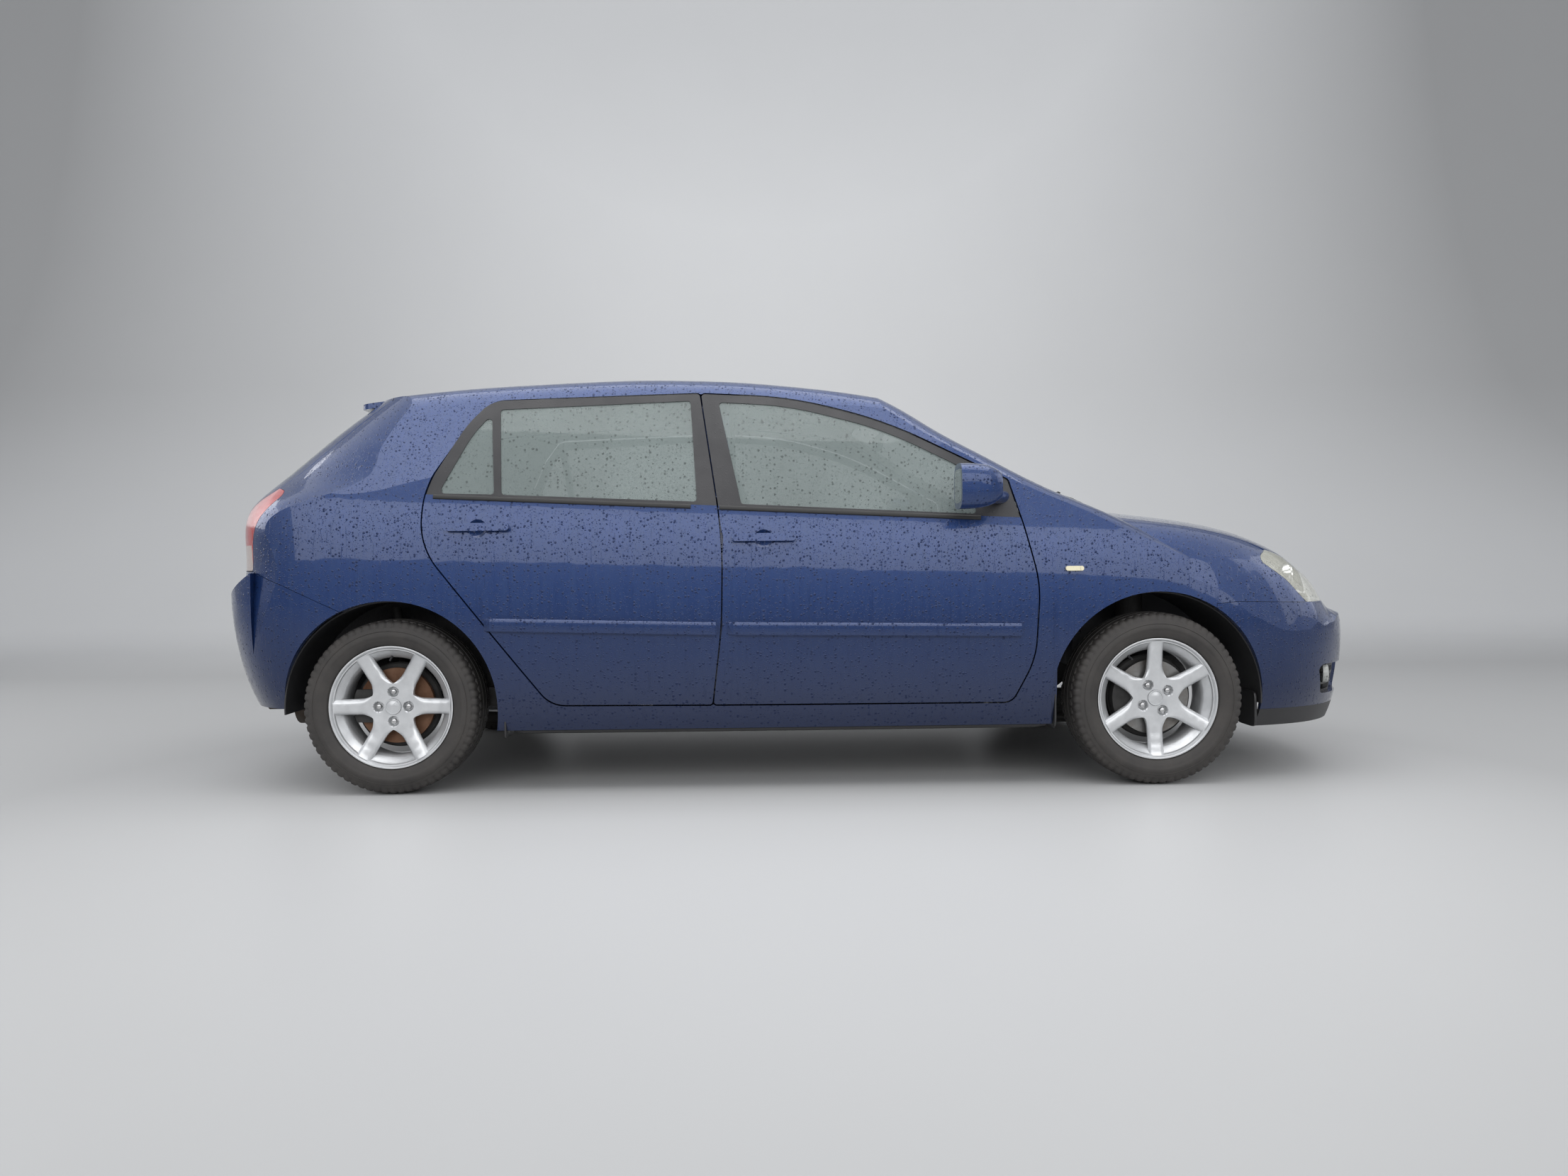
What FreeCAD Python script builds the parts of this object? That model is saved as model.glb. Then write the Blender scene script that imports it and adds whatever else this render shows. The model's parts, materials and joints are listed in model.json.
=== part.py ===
# Five-door hatchback car, modelled in its own frame: +X forward, +Y to the car's left,
# +Z up, with the origin on the ground under the middle of the car.
import FreeCAD, Part
import math
import os
from FreeCAD import Placement, Rotation, Vector

doc = FreeCAD.newDocument("Hatchback")
sheet = doc.addObject("Spreadsheet::Sheet", "Sizes")

SIZES = {
    # whole car
    "body_length": 4180,
    "body_width": 1710,
    "body_height": 1465,
    "wheel_base": 2600,
    "front_axle_place": 1195,
    "track_front": 1478,
    "track_rear": 1460,
    # panels and gaps
    "shut_gap": 5,
    "seam_gap": 1.5,
    "seat_gap": 0.3,
    "overrun": 60,
    "door_thickness": 78,
    "door_frame_thickness": 42,
    "frame_recess": 4,
    "sill_thickness": 105,
    "rail_thickness": 60,
    "roof_thickness": 30,
    "bonnet_thickness": 20,
    "bonnet_rim_thickness": 6,
    "bonnet_rim_width": 12,
    "wing_thickness": 12,
    "bumper_thickness": 22,
    "tailgate_thickness": 42,
    "tailgate_rim_thickness": 6,
    "tailgate_rim_width": 14,
    "glass_thickness": 5,
    "glass_recess": 7,
    "roof_half_width": 560,
    "belt_height": 951,
    "sill_bottom": 212,
    "floor_height": 250,
    "floor_thickness": 16,
    "seat_floor_height": 404,
    "boot_floor_height": 470,
    "firewall_place": 1040,
    "rear_panel_place": -1960,
    "roof_seam_place": -1465,
    "bonnet_shut_place": 1120,
    # wheel arches
    "front_arch_radius": 372,
    "front_arch_height": 290,
    "rear_arch_radius": 362,
    "rear_arch_height": 292,
    "liner_thickness": 5,
    "wheelhouse_inner": 450,
    "rear_wheelhouse_inner": 545,
    # wheels
    "tyre_radius": 295,
    "tyre_width": 195,
    "rim_radius": 207,
    "rim_well_radius": 176,
    "rim_width": 166,
    "rim_wall": 9,
    "hub_face_offset": 40,
    "spoke_thickness": 22,
    "spoke_root_radius": 62,
    "bolt_circle_radius": 50,
    "bolt_hole_radius": 7,
    "centre_bore_radius": 27,
    "disc_radius": 128,
    "disc_thickness": 20,
    "disc_hat_radius": 72,
    # front suspension
    "strut_radius": 28,
    "strut_top_height": 838,
    "strut_top_side": 590,
    "ball_joint_side": 700,
    "ball_joint_height": 190,
    "arm_thickness": 24,
    # engine, tank and exhaust
    "engine_length": 420,
    "engine_width": 620,
    "engine_height": 420,
    "engine_lead": 160,
    "engine_bottom": 330,
    "tank_length": 500,
    "tank_width": 900,
    "tank_height": 150,
    "tank_lead": 290,
    "silencer_radius": 75,
    "silencer_length": 330,
    "pipe_radius": 22,
    "hanger_radius": 8,
    "pipe_length": 360,
    "exhaust_side": 320,
    "exhaust_height": 255,
    # cabin
    "steering_wheel_radius": 178,
    "steering_wheel_grip": 14,
    "steering_wheel_place": 500,
    "steering_wheel_side": 370,
    "steering_wheel_height": 890,
    "column_radius": 28,
    "column_length": 260,
    "seat_width": 500,
    "seat_side": 370,
    "rear_seat_width": 1300,
    # doors and fittings
    "mirror_reach": 918,
    "mirror_width": 150,
    "mirror_height": 150,
    "mirror_depth": 150,
    "rub_strip_depth": 12,
    "rub_strip_height": 46,
    "handle_depth": 22,
    "handle_height": 26,
    "handle_length": 215,
}

for row, (alias, value) in enumerate(SIZES.items(), start=1):
    sheet.set("A%d" % row, alias)
    sheet.set("B%d" % row, str(value))
    sheet.setAlias("B%d" % row, alias)
doc.recompute()


def size(alias):
    return float(sheet.get(alias))


HALF_LENGTH = size("body_length") / 2
HALF_WIDTH = size("body_width") / 2
HEIGHT = size("body_height")
FRONT_AXLE = size("front_axle_place")
REAR_AXLE = FRONT_AXLE - size("wheel_base")
GAP = size("shut_gap")
SEAM = size("seam_gap")
SEAT = size("seat_gap")
OVERRUN = size("overrun")
BELT = size("belt_height")
WHEEL_HEIGHT = size("tyre_radius")
FAR = size("body_length")

# The belt line drops towards the nose by this many millimetres in each millimetre.
belt_rake_share = -0.046
rake_start_share = 0.157
rake_span_share = 0.4915

# Half width of the body against height.
half_width_shares = [
    (0.1024, 0.8947), (0.1263, 0.9298), (0.157, 0.9591), (0.198, 0.9801), (0.2594, 0.9918),
    (0.3208, 0.9977), (0.3823, 1), (0.4369, 0.9994), (0.5188, 0.993), (0.5802, 0.9825),
    (0.6212, 0.9696), (0.6451, 0.9579), (0.6587, 0.9485), (0.6826, 0.9322), (0.7099, 0.9135),
    (0.7577, 0.8795), (0.8191, 0.8339), (0.8805, 0.7848), (0.9352, 0.7392), (0.9761, 0.7018),
    (1.0375, 0.6456),
]
# Reach of the nose and of the rear bumper against height.
nose_shares = [
    (0.0956, 0.9742), (0.1229, 0.98), (0.1604, 0.9862), (0.2048, 0.9922), (0.2614, 0.9983),
    (0.3072, 1), (0.3549, 1), (0.3884, 0.9962), (0.4164, 0.9809), (0.4505, 0.9641),
    (0.5188, 0.9522), (1.0239, 0.9091),
]
tail_bumper_shares = [
    (0.0956, -0.9234), (0.1365, -0.9354), (0.2048, -0.9593), (0.273, -0.9785),
    (0.3413, -0.9904), (0.4096, -0.9976), (0.4642, -1), (0.5188, -1), (1.0239, -1),
]
# Centre line of the bonnet, and how far out its surface rolls over into the wings.
bonnet_line_shares = [
    (0.4306, 0.6771), (0.4785, 0.6717), (0.5502, 0.6621), (0.6244, 0.6498), (0.7053, 0.6348),
    (0.7799, 0.613), (0.8455, 0.5802), (0.89, 0.544), (0.9234, 0.5031), (0.9474, 0.4608),
    (0.9627, 0.4246), (0.9785, 0.4096), (0.9976, 0.3973), (1.0526, 0.372),
]
wing_edge_shares = [
    (0.4306, 0.982), (0.622, 0.966), (0.7177, 0.937), (0.8134, 0.887), (0.9091, 0.8246),
    (1.0287, 0.7485),
]
# Centre line of the roof, and how far out it rolls over into the rails.
roof_line_shares = [
    (-0.8134, 0.9365), (-0.7177, 0.9577), (-0.6699, 0.9659), (-0.5785, 0.9788),
    (-0.4421, 0.9904), (-0.3589, 0.9959), (-0.2646, 0.9993), (-0.1914, 0.998),
    (-0.0995, 0.9925), (-0.0311, 0.9843), (0.0478, 0.972), (0.1244, 0.9549), (0.201, 0.9338),
    (0.2679, 0.9113),
]
roof_edge_shares = [
    (-1.0526, 1.006), (-0.9091, 0.889), (-0.8134, 0.806), (-0.7177, 0.78), (-0.4306, 0.764),
    (-0.1435, 0.76), (0.0957, 0.785), (0.2392, 0.822), (0.3828, 0.877), (0.622, 0.9942),
]
# Centre line of the windscreen and of the tail, and how far the tail sweeps forward at its sides.
windscreen_line_shares = [
    (0, 1.3), (0.3, 0.975), (0.587, 0.6268), (0.6471, 0.5407), (0.6867, 0.4742),
    (0.7331, 0.4067), (0.7863, 0.3378), (0.841, 0.2675), (0.9031, 0.1971), (0.9549, 0.1244),
    (1.0102, 0.0383),
]
tail_line_shares = [
    (0, -0.995), (0.2, -0.993), (0.4369, -0.9895), (0.471, -0.9866), (0.516, -0.9823),
    (0.5891, -0.9809), (0.6416, -0.9789), (0.673, -0.9751), (0.6962, -0.9684),
    (0.7154, -0.9584), (0.7509, -0.9321),
    (0.7973, -0.8938), (0.8635, -0.8397), (0.916, -0.7904), (0.9556, -0.7522),
    (1.0239, -0.6842),
]
tail_sweep_shares = [
    (0, 0.1914), (0.2, 0.1914), (0.4369, 0.1914), (0.516, 0.1914), (0.5891, 0.177),
    (0.673, 0.2105), (0.7154, 0.2871),
    (0.7973, 0.2799), (0.8205, 0.2727), (0.916, 0.2273), (0.9693, 0.1914), (1.0239, 0.1579),
]
# Side outlines: along, up and corner radius of each corner.
front_door_shares = [
    (-0.1732, 0.9338, 0.0082), (-0.0254, 0.9235, 0.8874), (0.1335, 0.8628, 0.9556),
    (0.3321, 0.716, 0.0102), (0.3742, 0.471, 0.2867), (0.3665, 0.3003, 0.2048),
    (0.3292, 0.2, 0.0307), (-0.1531, 0.202, 0.0068), (-0.1378, 0.3823, 1.0239),
    (-0.1354, 0.587, 1.0239),
]
rear_door_shares = [
    (-0.1732, 0.9338, 0.0082), (-0.1354, 0.587, 1.0239), (-0.1378, 0.3823, 1.0239),
    (-0.1531, 0.202, 0.0068), (-0.4134, 0.2048, 0.0683), (-0.6182, 0.572, 0.1706),
    (-0.6115, 0.7099, 0.2389), (-0.5574, 0.8567, 0.3413), (-0.5215, 0.9167, 0.0751),
]
front_window_shares = [
    (-0.144, 0.9126, 0.0082), (-0.0273, 0.9031, 0.7509), (0.1292, 0.8437, 0.8191),
    (0.2708, 0.7386, 0.0082), (0.2766, 0.6355, 0.0082), (-0.1062, 0.6621, 0.0082),
]
rear_window_shares = [
    (-0.1904, 0.916, 0.0082), (-0.1775, 0.6683, 0.0082), (-0.4919, 0.6874, 0.0082),
    (-0.5048, 0.8949, 0.0082),
]
quarter_window_shares = [
    (-0.5177, 0.8833, 0.0082), (-0.5033, 0.6881, 0.0068), (-0.5923, 0.6915, 0.0096),
    (-0.5455, 0.8362, 0.2594),
]
wing_region_shares = [
    (0.3373, 0, 0), (0.3373, 0.2116, 0), (0.2871, 0.2253, 0), (0.2871, 0.6655, 0),
    (0.4115, 0.6655, 0), (0.4593, 0.6758, 0), (0.5742, 0.6758, 0), (0.5742, 0.7509, 0),
    (1.1, 0.7509, 0), (1.1, 0, 0),
]
front_bumper_region_shares = [
    (0.6675, 0, 0), (0.6675, 0.4212, 0), (0.7033, 0.4259, 0), (0.8297, 0.4212, 0),
    (1.1, 0.4212, 0), (1.1, 0, 0),
]
rear_bumper_region_shares = [
    (-0.7464, 0, 0), (-0.7464, 0.4232, 0), (-0.844, 0.4867, 0), (-0.9057, 0.5167, 0),
    (-1.1, 0.5167, 0), (-1.1, 0, 0),
]
headlamp_region_shares = [
    (0.7512, 0.5263, 0.0137), (0.7799, 0.548, 0.0341), (0.9, 0.62, 0), (1.1, 0.62, 0),
    (1.1, 0.4212, 0), (0.8392, 0.4212, 0.0137), (0.8038, 0.4737, 0.1024),
]
tail_lamp_region_shares = [
    (-0.9057, 0.5167, 0.0068), (-0.9005, 0.6143, 0.1365), (-0.8517, 0.7031, 0.0137),
    (-0.9, 0.7236, 0), (-1.1, 0.7236, 0), (-1.1, 0.5167, 0),
]
shelf_region_shares = [
    (-1.1, 0.4096, 0), (-0.9569, 0.4655, 0), (-0.8995, 0.5133, 0), (-0.8995, 0, 0), (-1.1, 0, 0),
]
# Plan outline of the bonnet and rear-view outlines of the tailgate and of the glass.
bonnet_plan_shares = [
    (0.5574, 0.4211, 0.3413), (0.5024, 0.8187, 0.0239), (0.6699, 0.8175, 0.3828),
    (0.7799, 0.7836, 0.0383), (0.8852, 0.5614, 0.0957), (0.9426, 0.3392, 0.0957),
]
tailgate_shares = [
    (0.6199, 0.4778, 0.0239), (0.7018, 0.5188, 0.0239), (0.7251, 0.7031, 0.0956),
    (0.6901, 0.8205, 0.0956), (0.6433, 0.9161, 0.0956), (0.6082, 1.1, 0),
]
backlight_shares = [
    (0.6433, 0.7304, 0.0273), (0.5673, 0.9181, 0.0273),
]
windscreen_shares = [
    (0.8012, 0.6519, 0.0273), (0.6667, 0.9345, 0.0478),
]

# Body surfaces


def spline(points):
    """Natural cubic spline through points, carried on in a straight line past its ends."""
    xs = [point[0] for point in points]
    ys = [point[1] for point in points]
    count = len(xs)
    steps = [xs[i + 1] - xs[i] for i in range(count - 1)]
    rises = [(ys[i + 1] - ys[i]) / steps[i] for i in range(count - 1)]
    ratio = [0.0] * count
    part = [0.0] * count
    bend = [0.0] * count
    for i in range(1, count - 1):
        pivot = 2 * (xs[i + 1] - xs[i - 1]) - steps[i - 1] * ratio[i - 1]
        ratio[i] = steps[i] / pivot
        part[i] = (3 * (rises[i] - rises[i - 1]) - steps[i - 1] * part[i - 1]) / pivot
    for i in range(count - 2, 0, -1):
        bend[i] = part[i] - ratio[i] * bend[i + 1]

    def value(x):
        if x <= xs[0]:
            return ys[0] + (rises[0] - steps[0] * bend[1] / 3) * (x - xs[0])
        if x >= xs[-1]:
            return ys[-1] + (rises[-1] + steps[-1] * bend[-2] / 3) * (x - xs[-1])
        i = max(k for k in range(count - 1) if xs[k] <= x)
        along = x - xs[i]
        slope = rises[i] - steps[i] * (bend[i + 1] + 2 * bend[i]) / 3
        cubic = (bend[i + 1] - bend[i]) / (3 * steps[i])
        return ys[i] + slope * along + bend[i] * along ** 2 + cubic * along ** 3

    return value


def scaled(points, first, second):
    return [(point[0] * first, point[1] * second) for point in points]


half_width_at = spline(scaled(half_width_shares, HEIGHT, HALF_WIDTH))
nose_at = spline(scaled(nose_shares, HEIGHT, HALF_LENGTH))
tail_bumper_at = spline(scaled(tail_bumper_shares, HEIGHT, HALF_LENGTH))
bonnet_line_at = spline(scaled(bonnet_line_shares, HALF_LENGTH, HEIGHT))
wing_edge_at = spline(scaled(wing_edge_shares, HALF_LENGTH, HALF_WIDTH))
roof_line_at = spline(scaled(roof_line_shares, HALF_LENGTH, HEIGHT))
roof_edge_at = spline(scaled(roof_edge_shares, HALF_LENGTH, HALF_WIDTH))
windscreen_line_at = spline(scaled(windscreen_line_shares, HEIGHT, HALF_LENGTH))
tail_line_at = spline(scaled(tail_line_shares, HEIGHT, HALF_LENGTH))
tail_sweep_at = spline(scaled(tail_sweep_shares, HEIGHT, HALF_LENGTH))

widest_place_share = -0.0478
barrel_share = 0.02
nose_powers = (9.0, 2.2)
tail_powers = (14.0, 3.0)
flank_shares = (0, .15, .3, .45, .58, .68, .76, .83, .885, .925)
end_shares = (.85, .68, .5, .32, .16, 0)
level_shares = (
    0.1024, 0.1263, 0.157, 0.198, 0.2594, 0.3208, 0.3823, 0.4369, 0.4778, 0.5188, 0.5666, 0.6075,
    0.6348, 0.6491, 0.6655, 0.6894, 0.7235, 0.7645, 0.8191, 0.8805, 0.9352, 0.9761, 1.0239,
)
WIDEST = widest_place_share * HALF_LENGTH


def rake_at(level):
    """Slope of a level of the body: none at the sill, the belt line's own at the belt."""
    share = (level / HEIGHT - rake_start_share) / rake_span_share
    return belt_rake_share * min(1.0, max(0.0, share))


def barrel_at(x):
    return 1 - barrel_share * ((x - WIDEST) / HALF_LENGTH) ** 2


def half_contour(level, inset_at, way):
    """Plan outline of the front or rear half of the body at a level, from right to left."""
    rake = rake_at(level)
    inset = inset_at(level)
    width = half_width_at(level) - inset
    if way > 0:
        reach = nose_at(level + rake * HALF_LENGTH) - WIDEST - inset
        along, across = nose_powers
    else:
        reach = WIDEST - tail_bumper_at(level - rake * HALF_LENGTH) - inset
        along, across = tail_powers
    half = [(u, (1 - u ** along) ** (1 / across)) for u in flank_shares]
    last = half[-1][1]
    half += [((1 - (last * s) ** across) ** (1 / along), last * s) for s in end_shares]
    right = []
    left = []
    for u, v in half:
        x = WIDEST + way * u * reach
        y = v * width * barrel_at(x)
        right.append(Vector(x, -y, level + rake * x))
        left.append(Vector(x, y, level + rake * x))
    return right + left[:-1][::-1]


def hull(inset_at):
    """Closed body of the plan outlines, between its lowest and highest level."""
    levels = [share * HEIGHT for share in level_shares]
    front = surface([half_contour(level, inset_at, 1) for level in levels], levels)
    rear = surface([half_contour(level, inset_at, -1) for level in levels], levels)
    ends = []
    for level in (levels[0], levels[-1]):
        rim = [edge for face in (front, rear) for edge in face.Edges if on_level(edge, level)]
        ends.append(Part.Face(Part.Wire(Part.__sortEdges__(rim))))
    shell = Part.Shell([front, rear] + ends)
    shell.sewShape()
    return Part.Solid(shell)


def on_level(edge, level):
    rake = rake_at(level)
    return all(abs(v.Z - level - rake * v.X) < SEAT / 10 for v in edge.Vertexes)


def surface(grid, us=None):
    """Smooth surface through a grid of points; us spaces the rows where they must match."""
    rows = len(grid)
    columns = len(grid[0])
    if us is None:
        us = [0.0]
        for i in range(1, rows):
            steps = [(grid[i][j] - grid[i - 1][j]).Length for j in range(columns)]
            us.append(us[-1] + sum(steps) / columns)
    vs = [0.0]
    for j in range(1, columns):
        steps = [(grid[i][j] - grid[i][j - 1]).Length for i in range(rows)]
        vs.append(vs[-1] + sum(steps) / rows)
    across = []
    for row in grid:
        curve = Part.BSplineCurve()
        curve.interpolate(Points=row, Parameters=vs)
        across.append(curve.getPoles())
    v_knots = curve.getKnots()
    v_counts = curve.getMultiplicities()
    along = []
    for j in range(len(across[0])):
        curve = Part.BSplineCurve()
        curve.interpolate(Points=[row[j] for row in across], Parameters=us)
        along.append(curve.getPoles())
    u_knots = curve.getKnots()
    u_counts = curve.getMultiplicities()
    poles = [[column[i] for column in along] for i in range(len(along[0]))]
    result = Part.BSplineSurface()
    result.buildFromPolesMultsKnots(
        poles, u_counts, v_counts, u_knots, v_knots, False, False, 3, 3)
    return result.toShape()


def both_ways(shares):
    return [-share for share in shares[:0:-1]] + list(shares)


def roll(y, edge, radius, cap):
    """Drop of a surface that rolls over on a radius where it nears an edge, and then runs straight."""
    share = (abs(y) - (edge - radius)) / radius
    if share <= 0:
        return 0.0
    if share < cap:
        return radius * (1 - math.sqrt(1 - share ** 2))
    steep = cap / math.sqrt(1 - cap ** 2)
    return radius * (1 - math.sqrt(1 - cap ** 2)) + (share - cap) * radius * steep


bonnet_roll_share = 0.0956
bonnet_crown_share = 0.0205
bonnet_sweep_share = 0.0622
bonnet_cap_share = 0.98
bonnet_across_shares = (
    0, .14, .28, .409, .526, .632, .713, .772, .815, .85, .88, .905, .93, .95, .97, .99, 1.015,
    1.045, 1.088,
)
bonnet_along_shares = (
    0.4306, 0.4785, 0.5263, 0.5742, 0.622, 0.6699, 0.7177, 0.7608, 0.799, 0.8325, 0.8612, 0.8852,
    0.9043, 0.9211, 0.9354, 0.9498, 0.9641, 0.9809, 1, 1.0239,
)
crown_width_share = 0.7251


def bonnet_height(x, y):
    crown = (y / (crown_width_share * HALF_WIDTH)) ** 2
    swept = x + bonnet_sweep_share * HALF_LENGTH * crown
    drop = bonnet_crown_share * HEIGHT * crown
    rolled = roll(y, wing_edge_at(x), bonnet_roll_share * HEIGHT, bonnet_cap_share)
    return bonnet_line_at(swept) - drop - rolled


def bonnet_block():
    """Everything under the bonnet's surface."""
    ys = [s * HALF_WIDTH for s in both_ways(bonnet_across_shares)]
    xs = [s * HALF_LENGTH for s in bonnet_along_shares]
    grid = [[Vector(x, y, bonnet_height(x, y)) for y in ys] for x in xs]
    return surface(grid).extrude(Vector(0, 0, -HEIGHT))


roof_roll_share = 0.0683
roof_cap_share = 0.862
roof_crown_share = 0.0239
roof_across_shares = (
    0, .14, .281, .409, .52, .6, .65, .69, .725, .755, .785, .82, .86, .91, .97, 1.03, 1.09)
roof_along_shares = (
    -1.0526, -0.9569, -0.8852, -0.8134, -0.7656, -0.7177, -0.6699, -0.622, -0.5502, -0.4785,
    -0.4067, -0.3349, -0.2632, -0.1914, -0.1196, -0.0478, 0, 0.0478, 0.0957, 0.1435, 0.1914, 0.2392, 0.2871,
    0.3589, 0.4306, 0.5024, 0.5742, 0.622,
)
roof_crown_width_share = 0.655


def roof_height(x, y):
    crown = roof_crown_share * HEIGHT * (y / (roof_crown_width_share * HALF_WIDTH)) ** 2
    rolled = roll(y, roof_edge_at(x), roof_roll_share * HEIGHT, roof_cap_share)
    return roof_line_at(x) - crown - rolled


def roof_block():
    """Everything under the roof's surface."""
    ys = [s * HALF_WIDTH for s in both_ways(roof_across_shares)]
    xs = [s * HALF_LENGTH for s in roof_along_shares]
    grid = [[Vector(x, y, roof_height(x, y)) for y in ys] for x in xs]
    return surface(grid).extrude(Vector(0, 0, -HEIGHT * roof_depth_share))


roof_depth_share = 1.0


def flank_at(x, height):
    """Half width of the body at a place and height."""
    level = height
    for _ in range(4):
        level = height - rake_at(level) * x
    return half_width_at(level) * barrel_at(x)


windscreen_sweep_share = 0.0388
windscreen_roll_share = 0.0478
windscreen_cap_share = 0.93
windscreen_across_shares = (0, .2, .4, .55, .68, .78, .85, .9, .93, .96, .985, 1.01, 1.05, 1.1)
pillar_lag_share = 0.0574


def windscreen_block():
    """Everything behind the windscreen's surface."""
    grid = []
    for height_share, _ in windscreen_line_shares:
        height = height_share * HEIGHT
        centre = windscreen_line_at(height)
        edge = flank_at(centre - pillar_lag_share * HALF_LENGTH, height)
        row = []
        for t in both_ways(windscreen_across_shares):
            y = t * edge
            sweep = windscreen_sweep_share * HALF_LENGTH * (y / (crown_width_share * HALF_WIDTH)) ** 2
            rolled = roll(y, edge, windscreen_roll_share * HEIGHT, windscreen_cap_share)
            x = centre - sweep - rolled
            row.append(Vector(x, y, height))
        grid.append(row)
    return surface(grid).extrude(Vector(-FAR, 0, 0))


tail_across_shares = (0, .15, .3, .45, .58, .68, .76, .83, .88, .92, .95, .975, 1.0, 1.04)
tail_level_shares = (
    0, 0.1, 0.2, 0.3, 0.37, 0.4369, 0.471, 0.5051, 0.5461, 0.587, 0.628, 0.6553, 0.6758,
    0.6928, 0.7099, 0.7304, 0.7577, 0.7973, 0.8396, 0.8874, 0.9283, 0.9693, 1.0239,
)
tail_cap_share = 0.975
tail_flank_share = -0.8134


def tail_sweep(t, sweep):
    """How far the tail has swept forward at a share of the half width."""
    cap = tail_cap_share
    inside = min(abs(t), cap)
    reach = sweep * (1 - math.sqrt(1 - inside ** 3))
    if abs(t) > cap:
        reach += sweep * (abs(t) - cap) * 1.5 * cap ** 2 / math.sqrt(1 - cap ** 3)
    return reach


def tail_block():
    """Everything ahead of the tail's surface, over the bumper's shelf."""
    grid = []
    for share in tail_level_shares:
        height = share * HEIGHT
        edge = flank_at(tail_flank_share * HALF_LENGTH, height)
        row = []
        for t in both_ways(tail_across_shares):
            x = tail_line_at(height) + tail_sweep(t, tail_sweep_at(height))
            row.append(Vector(x, t * edge, height))
        grid.append(row)
    return surface(grid).extrude(Vector(FAR + HALF_LENGTH, 0, 0))


# Outlines and prisms


def corner_points(shares):
    return [(x * HALF_LENGTH, z * HEIGHT, r * HEIGHT) for x, z, r in shares]


def grown(corners, distance):
    """An outline moved outwards by a distance, or inwards by a negative one."""
    count = len(corners)
    area = sum(
        corners[i - 1][0] * corners[i][1] - corners[i][0] * corners[i - 1][1]
        for i in range(count))
    side = 1 if area > 0 else -1
    result = []
    for i in range(count):
        before = corners[i - 1]
        here = corners[i]
        after = corners[(i + 1) % count]
        first = Vector(here[0] - before[0], here[1] - before[1], 0).normalize()
        second = Vector(after[0] - here[0], after[1] - here[1], 0).normalize()
        normal_one = Vector(first.y, -first.x, 0) * side
        normal_two = Vector(second.y, -second.x, 0) * side
        shift = (normal_one + normal_two) * (distance / (1 + normal_one.dot(normal_two)))
        turn = (first.x * second.y - first.y * second.x) * side
        radius = here[2]
        if radius > 0:
            radius = max(radius + distance * (1 if turn > 0 else -1), SEAT)
        result.append((here[0] + shift.x, here[1] + shift.y, radius))
    return result


def outline(corners, place):
    """Closed wire through corners with round ones as arcs; place turns a corner into a point."""
    count = len(corners)
    starts = []
    middles = []
    ends = []
    for i in range(count):
        before = corners[i - 1]
        here = corners[i]
        after = corners[(i + 1) % count]
        point = Vector(here[0], here[1], 0)
        back = (Vector(before[0], before[1], 0) - point)
        ahead = (Vector(after[0], after[1], 0) - point)
        back.normalize()
        ahead.normalize()
        half_angle = back.getAngle(ahead) / 2
        reach = here[2] / math.tan(half_angle)
        start = point + back * reach
        end = point + ahead * reach
        starts.append(start)
        ends.append(end)
        bisector = (back + ahead)
        if here[2] > 0:
            bisector.normalize()
            depth = here[2] / math.sin(half_angle) - here[2]
            middles.append(point + bisector * depth)
        else:
            middles.append(point)
    edges = []
    for i in range(count):
        if corners[i][2] > 0:
            three = [place(p.x, p.y) for p in (starts[i], middles[i], ends[i])]
            edges.append(Part.Arc(*three).toShape())
        following = starts[(i + 1) % count]
        if (following - ends[i]).Length > SEAT / 10:
            edges.append(Part.makeLine(place(ends[i].x, ends[i].y), place(following.x, following.y)))
    return Part.Wire(Part.__sortEdges__(edges))


def side_prism(corners, start, end, lean=0.0):
    """Prism across the car from a side outline, leaning forward by a share of its depth."""
    wire = outline(corners, lambda x, z: Vector(x, start, z))
    return Part.Face(wire).extrude(Vector(lean * (end - start), end - start, 0))


def plan_prism(corners, start, end):
    wire = outline(corners, lambda x, y: Vector(x, y, start))
    return Part.Face(wire).extrude(Vector(0, 0, end - start))


def rear_prism(corners, start, end):
    wire = outline(corners, lambda y, z: Vector(start, y, z))
    return Part.Face(wire).extrude(Vector(end - start, 0, 0))


def mirrored_corners(corners):
    """Outline given for one half, closed with its mirror image."""
    return corners + [(-a, b, r) for a, b, r in reversed(corners)]


def block(x0, x1, y0, y1, z0, z1):
    return Part.makeBox(x1 - x0, y1 - y0, z1 - z0, Vector(x0, y0, z0))


def other_side(shape):
    return shape.mirror(Vector(0, 0, 0), Vector(0, 1, 0))


def bar(start, end, radius):
    return Part.makeCylinder(radius, (end - start).Length, start, end - start)


def largest(shape):
    return max(shape.Solids, key=lambda solid: solid.Volume)


def solids_over(shape, share):
    """Keeps the solids that are larger than a share of the largest one."""
    top = largest(shape).Volume
    return Part.Compound([solid for solid in shape.Solids if solid.Volume > share * top])


pieces = []


def piece(name, shape):
    """A named sub-part of the car."""
    result = doc.addObject("Part::Feature", name)
    result.Label = name
    solids = shape.Solids
    whole_shape = solids[0] if len(solids) == 1 else Part.Compound(solids)
    place = whole_shape.Placement
    result.Shape = whole_shape
    result.Placement = place
    pieces.append(result)
    return result


def pair(name, shape):
    """A sub-part on the car's right, and its mirror image on the left."""
    piece(name % "right", shape)
    piece(name % "left", other_side(shape))


def moved(shape, x, y, z):
    result = shape.copy()
    result.translate(Vector(x, y, z))
    return result


# Whole forms that the panels are cut from

sill_top_share = 0.32
belt_line_share = 1.0


def no_inset(level):
    return 0.0


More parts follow.
